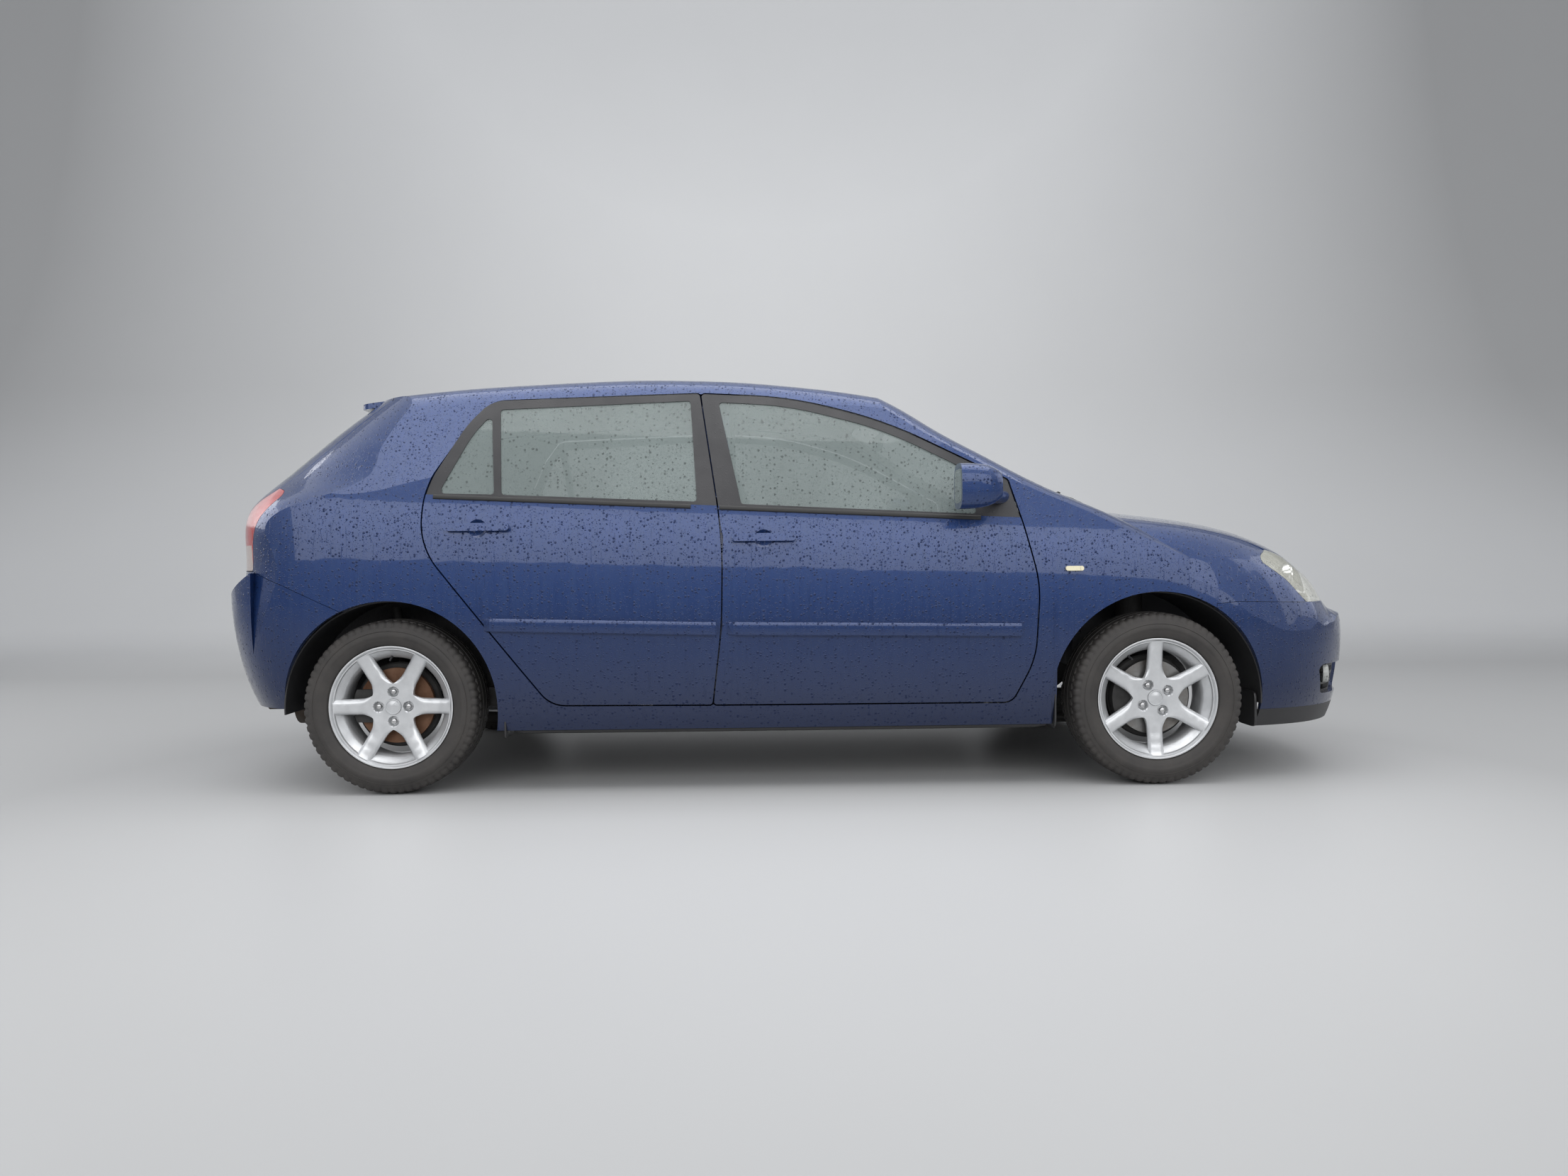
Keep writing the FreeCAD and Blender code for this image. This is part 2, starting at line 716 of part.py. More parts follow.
def cabin_inset(level):
    if level < BELT * sill_top_share:
        return size("sill_thickness")
    if level < BELT * belt_line_share:
        return size("door_thickness")
    return size("rail_thickness")


SIDE = HALF_WIDTH + OVERRUN
RIGHT_HALF = block(-FAR, FAR, -FAR, 0, -FAR, FAR)
outer = hull(no_inset)
bonnet_under = bonnet_block()
roof_under = roof_block()
behind_windscreen = windscreen_block()
ahead_of_tail = tail_block()

windscreen_lean_share = 0.53
windscreen_rise_share = 0.85
backlight_lean_share = 0.65
backlight_drop_share = 0.76


def windscreen_inward(distance):
    return (-windscreen_lean_share * distance, 0, -windscreen_rise_share * distance)


def backlight_inward(distance):
    return (backlight_lean_share * distance, 0, -backlight_drop_share * distance)


cabin_top = roof_under.common(behind_windscreen)
body_right = outer.common(RIGHT_HALF).common(cabin_top).common(ahead_of_tail)
front_right = outer.common(RIGHT_HALF).common(bonnet_under)

cabin_roof = moved(roof_under, 0, 0, -size("roof_thickness"))
cabin_screen = moved(behind_windscreen, *windscreen_inward(size("roof_thickness")))
cabin_tail = moved(ahead_of_tail, size("tailgate_thickness"), 0, -size("tailgate_thickness"))
cabin_side = hull(cabin_inset)
firewall = block(-FAR, size("firewall_place"), -FAR, FAR, -FAR, FAR)
cabin_space = cabin_side.common(RIGHT_HALF).common(cabin_roof).common(cabin_screen)
cabin_space = cabin_space.common(cabin_tail).common(firewall)
shell_right = body_right.cut(cabin_space)


def belt_at(x):
    return BELT + belt_rake_share * x


def across_prism(corners, lean=0.0):
    """Side outline carried from outside the right flank to the car's middle plane."""
    return side_prism(corners, -SIDE, 0, lean)


# Doors

door_lean_share = 0.3
door_depth_share = 0.55


def leaning_edge(corners, reach):
    """Region ahead of a door's rear shut edge, which leans forward as it goes in."""
    points = []
    for x, z, _ in corners:
        level = z
        skin = flank_at(x, level)
        points.append((x - door_lean_share * (SIDE - skin), z, 0))
    top = points[0]
    bottom = points[-1]
    ahead = max(p[0] for p in points) + reach
    points = [(ahead, top[1] + OVERRUN, 0), (top[0], top[1] + OVERRUN, 0)] + points
    points += [(bottom[0], bottom[1] - OVERRUN, 0), (ahead, bottom[1] - OVERRUN, 0)]
    return side_prism(points, -SIDE, -door_depth_share * HALF_WIDTH, door_lean_share)


def door_region(corners, rear_edge, margin):
    """The space that a door takes, or with a margin the hole that it fills."""
    straight = side_prism(grown(corners, margin), -SIDE, -door_depth_share * HALF_WIDTH)
    edge = [(x - margin, z, r) for x, z, r in rear_edge]
    return straight.common(leaning_edge(edge, HALF_LENGTH))


front_door = corner_points(front_door_shares)
rear_door = [(x - GAP if i in (0, 1, 2, 3) else x, z, r)
             for i, (x, z, r) in enumerate(corner_points(rear_door_shares))]
front_door_edge = [front_door[0], front_door[9], front_door[8], front_door[7]]
rear_door_edge = [rear_door[8], rear_door[7], rear_door[6], rear_door[5], rear_door[4]]
front_hole = door_region(front_door, front_door_edge, GAP)
rear_hole = door_region(rear_door, rear_door_edge, GAP)

below_belt = across_prism([
    (-FAR, belt_at(-FAR), 0), (FAR, belt_at(FAR), 0), (FAR, -FAR, 0), (-FAR, -FAR, 0)])


def skin_slab(region, recess, thickness):
    """A wall of the flank in a region, set in by a recess."""
    return moved(outer, 0, recess, 0).common(region).cut(moved(outer, 0, recess + thickness, 0))


def rub_strip(front, rear, front_height, rear_height):
    """Raised moulding along a door."""
    tall = size("rub_strip_height") / 2
    tip = size("rub_strip_height") / 3
    depth = size("rub_strip_depth")
    corners = [
        (rear, rear_height + tall, tip), (front, front_height + tall, tip),
        (front, front_height - tall, tip), (rear + tall, rear_height - tall, tip)]
    region = side_prism(corners, -SIDE, -HALF_WIDTH / 2)
    return moved(outer, 0, -depth, 0).common(region).cut(moved(outer, 0, depth, 0))


def handle(middle, height):
    """Pull handle that stands off the door on two feet."""
    reach = size("handle_length") / 2
    tall = size("handle_height") / 2
    depth = size("handle_depth")
    corners = [
        (middle - reach, height - tall, tall * round_share),
        (middle + reach, height - tall, tall * round_share),
        (middle + reach, height + tall, tall * round_share),
        (middle - reach, height + tall, tall * round_share)]
    body = moved(outer, 0, -depth, 0).common(side_prism(corners, -SIDE, -HALF_WIDTH / 2))
    body = body.cut(outer)
    space = block(
        middle - reach * finger_share, middle + reach * finger_share, -SIDE, 0,
        height - 2 * tall, height + 2 * tall)
    return body.cut(moved(outer, 0, -depth / 2, 0).common(space))


round_share = 0.95
finger_share = 0.55
bowl_radius_share = 0.22


def door(corners, rear_edge, windows, strip, grip):
    """Door panel with its window frame, its windows cut, and the recess behind its handle."""
    region = door_region(corners, rear_edge, 0)
    panel = skin_slab(region.common(below_belt), 0, size("door_thickness"))
    frame = skin_slab(region.cut(below_belt), size("frame_recess"), size("door_frame_thickness"))
    result = panel.fuse(frame).fuse(rub_strip(*strip))
    for window in windows:
        result = result.cut(across_prism(window))
    middle, height = grip
    radius = bowl_radius_share * size("handle_length")
    bowl_place = flank_at(middle, height) + radius * bowl_out_share
    bowl = Part.makeSphere(radius, Vector(middle, -bowl_place, height))
    return solids_over(result.cut(bowl), 0.1)


bowl_out_share = 0.75


def glass(windows):
    panes = []
    for window in windows:
        region = side_prism(grown(window, -SEAT), -SIDE, -HALF_WIDTH / 3)
        panes += skin_slab(region, size("glass_recess"), size("glass_thickness")).Solids
    return Part.Compound(panes)


front_windows = [corner_points(front_window_shares)]
rear_windows = [corner_points(rear_window_shares), corner_points(quarter_window_shares)]
strip_height_share = 0.38
front_strip = (0.3455 * HALF_LENGTH, -0.1311 * HALF_LENGTH, 0.3672 * HEIGHT, 0.3768 * HEIGHT)
rear_strip = (-0.1455 * HALF_LENGTH, -0.5167 * HALF_LENGTH, 0.3768 * HEIGHT, 0.3904 * HEIGHT)
front_grip = (-0.0703 * HALF_LENGTH, 0.585 * HEIGHT)
rear_grip = (-0.5273 * HALF_LENGTH, 0.613 * HEIGHT)
pair("front_%s_door", door(front_door, front_door_edge, front_windows, front_strip, front_grip))
pair("rear_%s_door", door(rear_door, rear_door_edge, rear_windows, rear_strip, rear_grip))
pair("front_%s_door_glass", glass(front_windows))
pair("rear_%s_door_glass", glass(rear_windows))
pair("front_%s_handle", handle(*front_grip))
pair("rear_%s_handle", handle(*rear_grip))

# Panels of the body

arch_right = [
    bar(Vector(FRONT_AXLE, -FAR, size("front_arch_height")),
        Vector(FRONT_AXLE, -size("wheelhouse_inner"), size("front_arch_height")),
        size("front_arch_radius")),
    bar(Vector(REAR_AXLE, -FAR, size("rear_arch_height")),
        Vector(REAR_AXLE, -size("rear_wheelhouse_inner"), size("rear_arch_height")),
        size("rear_arch_radius")),
]


def half_outline(shares, first, second):
    return [(a * first, b * second, r * HEIGHT) for a, b, r in shares]


windscreen_half = half_outline(windscreen_shares, HALF_WIDTH, HEIGHT)
backlight_half = half_outline(backlight_shares, HALF_WIDTH, HEIGHT)
tailgate_half = half_outline(tailgate_shares, HALF_WIDTH, HEIGHT)
windscreen_opening = mirrored_corners(windscreen_half)
backlight_opening = mirrored_corners(backlight_half)
tailgate_outline = mirrored_corners(tailgate_half)
windscreen_top = windscreen_half[-1][1]
screen_hole = rear_prism(
    windscreen_opening, windscreen_line_at(windscreen_top) - OVERRUN, HALF_LENGTH)
tailgate_hole = rear_prism(
    grown(tailgate_outline, GAP), -HALF_LENGTH - OVERRUN, size("roof_seam_place"))
bonnet_plan = [(x * HALF_LENGTH, y * HALF_WIDTH, r * HEIGHT) for x, y, r in bonnet_plan_shares]
bonnet_outline = bonnet_plan + [(x, -y, r) for x, y, r in reversed(bonnet_plan)]
bonnet_hole = plan_prism(grown(bonnet_outline, GAP), 0.35 * HEIGHT, HEIGHT)
wing_region = across_prism(corner_points(wing_region_shares))
front_bumper_corners = corner_points(front_bumper_region_shares)
rear_bumper_corners = corner_points(rear_bumper_region_shares)
headlamp_region = across_prism(corner_points(headlamp_region_shares))
tail_lamp_region = across_prism(corner_points(tail_lamp_region_shares))
shelf = across_prism(corner_points(shelf_region_shares))
ROOF_SIDE = size("roof_half_width")
under_sill = block(-FAR, FAR, -FAR, FAR, -FAR, size("sill_bottom"))

# The two pillars that the doors hinge on, inside the skin

pillar_depth_share = 0.07
post_span_share = 0.055
a_post_top_share = 0.69


def post(x0, x1, clearance_at, z0, z1):
    """Upright inside the skin between two places along the car."""
    depth = pillar_depth_share * HALF_WIDTH

    def nearer(level):
        return clearance_at(level) + GAP

    def farther(level):
        return clearance_at(level) + GAP + depth

    strip = block(x0, x1, -SIDE, -HALF_WIDTH / 2, z0, z1)
    return hull(nearer).common(strip).cut(hull(farther)).common(body_right)


def door_inset(level):
    if level < BELT * belt_line_share:
        return size("door_thickness")
    return size("door_frame_thickness") + size("frame_recess")


def wing_inset(level):
    return size("wing_thickness")


door_split = front_door[7][0]
post_half = post_span_share * HALF_LENGTH / 2
post_foot = size("floor_height") + size("floor_thickness") + SEAT
b_post = post(
    door_split - post_half, door_split + post_half, door_inset, post_foot,
    front_door[0][1] + OVERRUN)
a_post_rear = front_door[4][0] + GAP + SEAM
a_post_front = a_post_rear + post_half
a_post = post(a_post_rear, a_post_front, wing_inset, size("sill_bottom"), a_post_top_share * HEIGHT)
a_sill = post(
    front_door[6][0], a_post_front, wing_inset, size("sill_bottom"), front_door[6][1] - 2 * GAP)
a_post = a_post.fuse(a_sill)
middle = block(-FAR, FAR, -ROOF_SIDE, ROOF_SIDE, -FAR, FAR)
roof_zone = shell_right.common(middle)
b_post = b_post.cut([roof_zone, moved(roof_zone, 0, 0, -SEAT)])


def post_face(level):
    return door_inset(level) + GAP


between_doors = block(
    door_split - post_half, door_split + post_half, -SIDE, -HALF_WIDTH / 2, front_door[7][1],
    front_door[0][1]).cut(hull(post_face))


def whole(right):
    """A centre piece from its right half."""
    return right.fuse(other_side(right)).removeSplitter()


roof_middle = block(-FAR, FAR, -ROOF_SIDE + SEAM, 0, 0.8 * HEIGHT, FAR)
roof_right = shell_right.common(roof_middle).cut([screen_hole, tailgate_hole])
piece("roof_panel", whole(largest(roof_right)))

# Windscreen, backlight and tailgate

screen_pane = behind_windscreen.cut(
    moved(behind_windscreen, *windscreen_inward(size("glass_thickness"))))
screen_reach = rear_prism(
    grown(windscreen_opening, -SEAT), windscreen_line_at(windscreen_top) - OVERRUN, HALF_LENGTH)
piece("windscreen", largest(screen_pane.common(screen_reach).common(roof_under)))

tailgate_reach = rear_prism(
    tailgate_outline, -HALF_LENGTH - OVERRUN, size("roof_seam_place") - GAP)
backlight_reach = rear_prism(backlight_opening, -HALF_LENGTH - OVERRUN, REAR_AXLE + 2 * GAP)
rim_step = size("tailgate_rim_thickness")
tailgate_inner_reach = rear_prism(
    grown(tailgate_outline, -size("tailgate_rim_width")), -HALF_LENGTH - OVERRUN,
    size("roof_seam_place") - GAP)
tailgate_rim = body_right.cut(moved(ahead_of_tail, rim_step, 0, -rim_step))
tailgate_right = shell_right.common(tailgate_inner_reach)
tailgate_right = tailgate_right.fuse(tailgate_rim.common(tailgate_reach)).cut(backlight_reach)
piece("tailgate_panel", whole(largest(tailgate_right)))
back_pane = ahead_of_tail.cut(
    moved(ahead_of_tail, *backlight_inward(size("glass_thickness"))))
pane_reach = rear_prism(
    grown(backlight_opening, -SEAT), -HALF_LENGTH - OVERRUN, REAR_AXLE)
piece("tailgate_glass", largest(back_pane.common(pane_reach).common(roof_under)))

spoiler_plan_shares = [(-0.705, 0.515, 0), (-0.7703, 0.5322, 0.0205), (-0.7823, 0.3, 0)]
spoiler_thickness_share = 0.0137
spoiler_low_share = 0.88
spoiler_plan = half_outline(spoiler_plan_shares, HALF_LENGTH, HALF_WIDTH)
spoiler_plan += [(x, -y, r) for x, y, r in reversed(spoiler_plan)]
spoiler_reach = plan_prism(spoiler_plan, spoiler_low_share * HEIGHT, FAR).common(RIGHT_HALF)
spoiler_under = roof_under.common(spoiler_reach)
spoiler = spoiler_under.cut(moved(roof_under, 0, 0, -spoiler_thickness_share * HEIGHT))
spoiler = spoiler.cut(moved(body_right, -SEAT, 0, SEAT))
piece("rear_spoiler", whole(largest(spoiler)))

# Bonnet, wings, bumpers and lamps


def inner_skin(shape, along, across, down):
    return moved(shape, along, across, down)


front_form = outer.common(RIGHT_HALF)
bonnet_skin = front_form.common(
    bonnet_under.cut(moved(bonnet_under, 0, 0, -size("bonnet_thickness"))))
bonnet_reach = plan_prism(bonnet_outline, 0.35 * HEIGHT, HEIGHT)
bonnet_inner_reach = plan_prism(
    grown(bonnet_outline, -size("bonnet_rim_width")), 0.35 * HEIGHT, HEIGHT)
bonnet_rim = front_form.common(
    bonnet_under.cut(moved(bonnet_under, 0, 0, -size("bonnet_rim_thickness"))))
bonnet_right = bonnet_skin.common(bonnet_inner_reach).fuse(bonnet_rim.common(bonnet_reach))
piece("bonnet", whole(largest(bonnet_right)))

wing_source = front_right.fuse(
    body_right.common(block(wing_region_shares[0][0] * HALF_LENGTH, 0.622 * HALF_LENGTH,
                            -SIDE, 0, 0, HEIGHT)))
wall = size("wing_thickness")
wing_skin = wing_source.cut(moved(wing_source, -wall, wall, -wall))
wing_middle = block(-FAR, HALF_LENGTH, -0.8 * HALF_WIDTH, FAR, 0.5 * HEIGHT, FAR)
wing_seams = [
    front_hole, bonnet_hole, headlamp_region, arch_right[0], wing_middle, under_sill,
    across_prism(grown(front_bumper_corners, SEAM))]
wing_low = across_prism(corner_points(wing_region_shares))
wing = wing_skin.common(wing_low).cut(wing_seams)
wing = largest(wing)
piece("front_wings", Part.Compound([wing, other_side(wing)]))

side_frame = shell_right.cut([
    middle, front_hole, rear_hole, wing_region, screen_hole, tailgate_hole, tail_lamp_region,
    across_prism(rear_bumper_corners), under_sill, arch_right[1], between_doors])
side_frame = largest(side_frame.fuse([b_post, a_post]).cut(wing))
pair("side_frame_%s", side_frame)

bumper_wall = size("bumper_thickness")
lip_top_share = 0.1707
lip_low_share = 0.1283
lip_rear_share = 0.7464
intake_place_share = 0.8
intake_shares = [(0.4, 0.2662, 0.0137), (0.4, 0.1945, 0.0137)]
corner_intake_shares = [
    (-0.48, 0.2703, 0.0137), (-0.84, 0.2703, 0.0137), (-0.8, 0.1979, 0.0137),
    (-0.48, 0.1945, 0.0137)]
intake = mirrored_corners(half_outline(intake_shares, HALF_WIDTH, HEIGHT))
corner_intake = half_outline(corner_intake_shares, HALF_WIDTH, HEIGHT)
intake_holes = [
    rear_prism(corners, intake_place_share * HALF_LENGTH, HALF_LENGTH + OVERRUN)
    for corners in (intake, corner_intake)]
bumper_skin = front_right.cut(moved(front_right, -bumper_wall, bumper_wall, -bumper_wall))
front_bumper_skin = bumper_skin.common(across_prism(front_bumper_corners)).cut(arch_right[0])
front_bumper = front_bumper_skin.cut(intake_holes + [bonnet_hole])
front_bumper = front_bumper.cut(block(-FAR, FAR, -FAR, FAR, -FAR, lip_top_share * HEIGHT))
piece("front_bumper", whole(largest(front_bumper)))
lip = front_bumper_skin.common(block(
    lip_rear_share * HALF_LENGTH, FAR, -FAR, 0, lip_low_share * HEIGHT,
    lip_top_share * HEIGHT - SEAT))
piece("front_lip", whole(largest(lip)))

upper_grille_side_share = 0.36
upper_grille_rear_share = 0.9
upper_grille_slot_shares = (0.4335, 0.4492)
slot_height_share = 0.0082
grille_wall = size("bumper_thickness")
upper_grille = front_right.cut(moved(front_right, -grille_wall, 0, -grille_wall))
upper_grille = upper_grille.common(block(
    upper_grille_rear_share * HALF_LENGTH, FAR, -upper_grille_side_share * HALF_WIDTH, 0,
    front_bumper_corners[1][1] + SEAM, FAR))
upper_grille = upper_grille.cut([bonnet_hole] + [
    block(0, FAR, -(upper_grille_side_share - slot_height_share) * HALF_WIDTH, -SEAM,
          share * HEIGHT, (share + slot_height_share) * HEIGHT)
    for share in upper_grille_slot_shares])
piece("upper_grille", whole(largest(upper_grille)))

tail_source = outer.common(RIGHT_HALF).common(ahead_of_tail.fuse(shelf.fuse(other_side(shelf))))
rear_skin = tail_source.cut(moved(tail_source, bumper_wall, bumper_wall, -bumper_wall))
rear_bumper = rear_skin.common(across_prism(grown(rear_bumper_corners, -SEAM)))
rear_bumper = rear_bumper.cut([arch_right[1], tailgate_hole])
rear_bumper = rear_bumper.cut(block(-FAR, FAR, -FAR, FAR, -FAR, 0.198 * HEIGHT))
piece("rear_bumper", whole(largest(rear_bumper)))

lamp_depth = 0.08 * HALF_WIDTH
headlamp = front_right.common(across_prism(grown(corner_points(headlamp_region_shares), -SEAM)))
headlamp = headlamp.cut([
    moved(front_right, -lamp_depth, lamp_depth, -lamp_depth), bonnet_hole,
    block(-FAR, FAR, -0.38 * HALF_WIDTH, FAR, -FAR, FAR), arch_right[0],
    across_prism(grown(front_bumper_corners, SEAM))])
headlamp = largest(headlamp)
repeater_shares = [
    (0.4167, 0.5017, 0.0048), (0.4459, 0.5017, 0.0048), (0.4459, 0.5127, 0.0048),
    (0.4167, 0.5127, 0.0048)]
repeater = moved(outer, 0, -2 * GAP, 0).common(across_prism(corner_points(repeater_shares)))
repeater = repeater.cut(outer)
piece("front_lamps", Part.Compound(
    [headlamp, other_side(headlamp), repeater, other_side(repeater)]))

tail_lamp = body_right.common(across_prism(grown(corner_points(tail_lamp_region_shares), -SEAM)))
tail_lamp = tail_lamp.cut([
    moved(body_right, lamp_depth, lamp_depth, -lamp_depth), tailgate_hole,
    across_prism(rear_bumper_corners)])
tail_lamp = largest(tail_lamp)
piece("tail_lamps", Part.Compound([tail_lamp, other_side(tail_lamp)]))

# Grilles: bars and mesh set in the bumper's openings

grille_depth_share = 0.012
slat_share = 0.0082
grille_low_share = 0.19
grille_top_share = 0.275
upright_shares = (0, 0.2, 0.39, 0.49, 0.65, 0.8)


def slats(opening_prism, bottom, top, count):
    """Horizontal bars with uprights that fill an opening of the nose."""
    depth = grille_depth_share * HALF_LENGTH
    band = moved(front_right, -depth, 0, 0).common(opening_prism)
    band = band.cut(moved(front_right, -2 * depth, 0, -depth))
    half_bar = slat_share * HEIGHT / 2
    bars = []
    for i in range(count):
        height = bottom + (top - bottom) * (i + 0.5) / count
        bars.append(block(0, FAR, -FAR, 0, height - half_bar, height + half_bar))
    for share in upright_shares:
        side = -share * HALF_WIDTH
        bars.append(block(0, FAR, side - half_bar, side + half_bar, bottom, top))
    return band.common(bars[0].fuse(bars[1:]))


# Wheels, built at the origin about the Y axis with the outer face towards -Y


def turned(profile):
    """Solid of revolution about the Y axis from corners of outward reach and radius."""
    wire = Part.makePolygon([Vector(r, -a, 0) for a, r in profile + profile[:1]])
    return Part.Face(wire).revolve(Vector(0, 0, 0), Vector(0, 1, 0), 360)


def rim():
    reach = size("rim_width") / 2
    lip = size("rim_radius")
    well = size("rim_well_radius")
    wall = size("rim_wall")
    seat = lip - 1.6 * wall
    barrel = turned([
        (reach, lip), (reach - wall, lip), (reach - wall, seat), (reach - 3 * wall, seat - wall / 2),
        (reach - 4.5 * wall, well), (-reach + 5 * wall, well), (-reach + 3 * wall, seat - wall / 2),
        (-reach + wall, seat), (-reach + wall, lip), (-reach, lip), (-reach, seat - wall / 2),
        (-reach + 3.2 * wall, seat - 1.6 * wall), (-reach + 5 * wall, well - wall),
        (reach - 4.5 * wall, well - wall), (reach - 2 * wall, seat - 1.6 * wall),
        (reach - wall / 3, seat)])
    face = size("hub_face_offset")
    thick = size("spoke_thickness")
    root = size("spoke_root_radius")
    bore = size("centre_bore_radius")
    edge = well - wall / 2
    dish = turned([
        (face, bore), (face, root), (face + thick / 2, edge), (reach - wall, edge + wall),
        (reach - wall / 2, edge + wall / 2), (face + thick * 1.4, root + wall),
        (face + thick * 1.1, root), (face + thick, 0), (face + thick / 2, 0), (face + thick / 2, bore)])
    spoke = thick
    near = root + wall
    far = edge - wall
    cos = math.cos(math.pi / 6)
    sin = math.sin(math.pi / 6)
    corners = [
        (near * cos + spoke * sin, near * sin - spoke * cos, wall),
        (far * cos + spoke * sin, far * sin - spoke * cos, wall),
        (far + wall, far * sin * 0.35, 6 * wall), (far + wall, -far * sin * 0.35, 6 * wall),
        (far * cos + spoke * sin, -far * sin + spoke * cos, wall),
        (near * cos + spoke * sin, -near * sin + spoke * cos, wall)]
    wire = outline(corners, lambda x, z: Vector(x, -reach, z))
    window = Part.Face(wire).extrude(Vector(0, reach, 0))
    cuts = []
    for i in range(6):
        cuts.append(window.copy())
        cuts[-1].rotate(Vector(0, 0, 0), Vector(0, 1, 0), 60 * i)
    bolt = size("bolt_circle_radius")
    hole = size("bolt_hole_radius")
    for i in range(4):
        angle = math.pi / 2 * i
        place = Vector(bolt * math.cos(angle), 0, bolt * math.sin(angle))
        cuts.append(bar(place, place + Vector(0, -reach, 0), hole))
        start = place + Vector(0, -face - thick / 2, 0)
        cuts.append(bar(start, start + Vector(0, -reach, 0), 1.9 * hole))
    return barrel.fuse(dish.cut(cuts)).removeSplitter()


def tyre():
    half = size("tyre_width") / 2
    tread = size("tyre_radius")
    lip = size("rim_radius")
    wall = size("rim_wall")
    bead = size("rim_width") / 2 - wall - SEAT
    seat = lip - 1.6 * wall + SEAT
    shoulder = tread - 1.2 * wall
    middle_radius = (lip + tread) / 2 - wall / 2
    right = [(bead - 1.4 * wall, seat), (bead, seat), (bead, lip + SEAT), (bead + wall, lip + wall / 2)]
    right += [(half - wall / 3, middle_radius - 1.6 * wall), (half, middle_radius)]
    right += [(half - wall / 3, middle_radius + 1.8 * wall), (half - wall, shoulder)]
    right += [(half - 1.9 * wall, tread - 0.3 * wall), (half - 3.5 * wall, tread)]
    groove = wall * 0.7
    for place in (2.2 * wall,):
        right += [(place + groove / 2, tread), (place + groove / 2, tread - groove)]
        right += [(place - groove / 2, tread - groove), (place - groove / 2, tread)]
    left = [(-a, r) for a, r in reversed(right)]
    inner = [(-bead + 1.4 * wall, lip + wall), (-half + 1.5 * wall, middle_radius),
             (-half + 2.5 * wall, tread - 2 * wall), (half - 2.5 * wall, tread - 2 * wall),
             (half - 1.5 * wall, middle_radius), (bead - 1.4 * wall, lip + wall)]
    return turned(right + left + inner)


def brake_disc():
    plate = size("disc_radius")
    thick = size("disc_thickness")
    hat = size("disc_hat_radius")
    face = size("hub_face_offset") - SEAT
    wall = size("rim_wall")
    bore = size("centre_bore_radius")
    inner = face - 4.5 * wall
    return turned([
        (face, bore), (face, hat), (inner + thick, hat), (inner + thick, plate), (inner, plate),
        (inner, hat - wall), (face - wall, hat - wall), (face - wall, bore)])


def hub_pin():
    """Hub that carries the wheel; its flange is behind the disc's hat."""
    face = size("hub_face_offset") - SEAT
    wall = size("rim_wall")
    bore = size("centre_bore_radius") - SEAT
    return turned([(face + wall, 0), (face + wall, bore), (face - wall - SEAT, bore),
                   (face - 3 * wall, bore), (face - 3 * wall, 0)])


rim_shape = rim()
tyre_shape = tyre()
disc_shape = brake_disc().fuse(hub_pin())


def on_axle(shape, x, side, track):
    """A wheel piece at its place, turned about for the left side."""
    result = shape.copy()
    if side > 0:
        result = other_side(result)
    result.translate(Vector(x, side * track / 2, WHEEL_HEIGHT))
    return result


for end, x, track in (("front", FRONT_AXLE, size("track_front")),
                      ("rear", REAR_AXLE, size("track_rear"))):
    for side_name, side in (("right", -1), ("left", 1)):
        for kind, shape in (("rim", rim_shape), ("tyre", tyre_shape), ("brake_disc", disc_shape)):
            piece("%s_%s_%s" % (end, side_name, kind), on_axle(shape, x, side, track))

# Front suspension: each knuckle with its strut turns about the line from ball joint to top mount

steer_angles = (-34, -17, 0, 17, 34)
ball = Vector(FRONT_AXLE, -size("ball_joint_side"), size("ball_joint_height"))
strut_top = Vector(
    FRONT_AXLE - 0.02 * size("strut_top_height"), -size("strut_top_side"), size("strut_top_height"))
wheel_centre = Vector(FRONT_AXLE, -size("track_front") / 2, WHEEL_HEIGHT)
strut = size("strut_radius")
wall = size("rim_wall")
hub_inner = wheel_centre + Vector(0, size("hub_face_offset") * 1.5, 0)
hub_outer = wheel_centre + Vector(0, 0, 0)
strut_foot = Vector(
    FRONT_AXLE - 0.01 * HALF_LENGTH, -size("track_front") / 2 + size("tyre_width") / 2 + 2.3 * strut,
    WHEEL_HEIGHT + 0.45 * size("tyre_radius"))
knuckle = bar(hub_inner, hub_outer - Vector(0, size("hub_face_offset") / 3, 0), 1.5 * strut)
knuckle = knuckle.fuse([
    bar(hub_inner - Vector(0, strut / 2, 0), ball + Vector(0, 0, strut * 0.6), 0.6 * strut),
    bar(hub_inner, strut_foot, 0.9 * strut), bar(strut_foot, strut_top, strut * 0.8)])
spring_low = strut_foot + (strut_top - strut_foot) * 0.3
spring_high = strut_foot + (strut_top - strut_foot) * 0.9
knuckle = knuckle.fuse([
    bar(spring_low, spring_high, 1.6 * strut),
    bar(spring_low, spring_low + (spring_high - spring_low) * 0.03, 2.1 * strut)])
caliper_at = wheel_centre + Vector(-size("disc_radius") * 0.8, 0, 0)
disc_plane = size("hub_face_offset") - SEAT - 4.5 * wall
caliper = block(
    caliper_at.x - 1.8 * strut, caliper_at.x + 1.1 * strut,
    -size("track_front") / 2 - disc_plane - size("disc_thickness") - 1.5 * wall,
    -size("track_front") / 2 - disc_plane + 3 * wall,
    WHEEL_HEIGHT - 2 * strut, WHEEL_HEIGHT + 2 * strut)
caliper = caliper.common(bar(wheel_centre + Vector(0, 4 * strut, 0),
                             wheel_centre - Vector(0, 4 * strut, 0),
                             size("disc_radius") + 1.5 * wall))
slot = turned([
    (disc_plane - SEAT, 0), (disc_plane - SEAT, size("disc_radius") + SEAT),
    (disc_plane + size("disc_thickness") + SEAT, size("disc_radius") + SEAT),
    (disc_plane + size("disc_thickness") + SEAT, 0)])
slot.translate(wheel_centre)
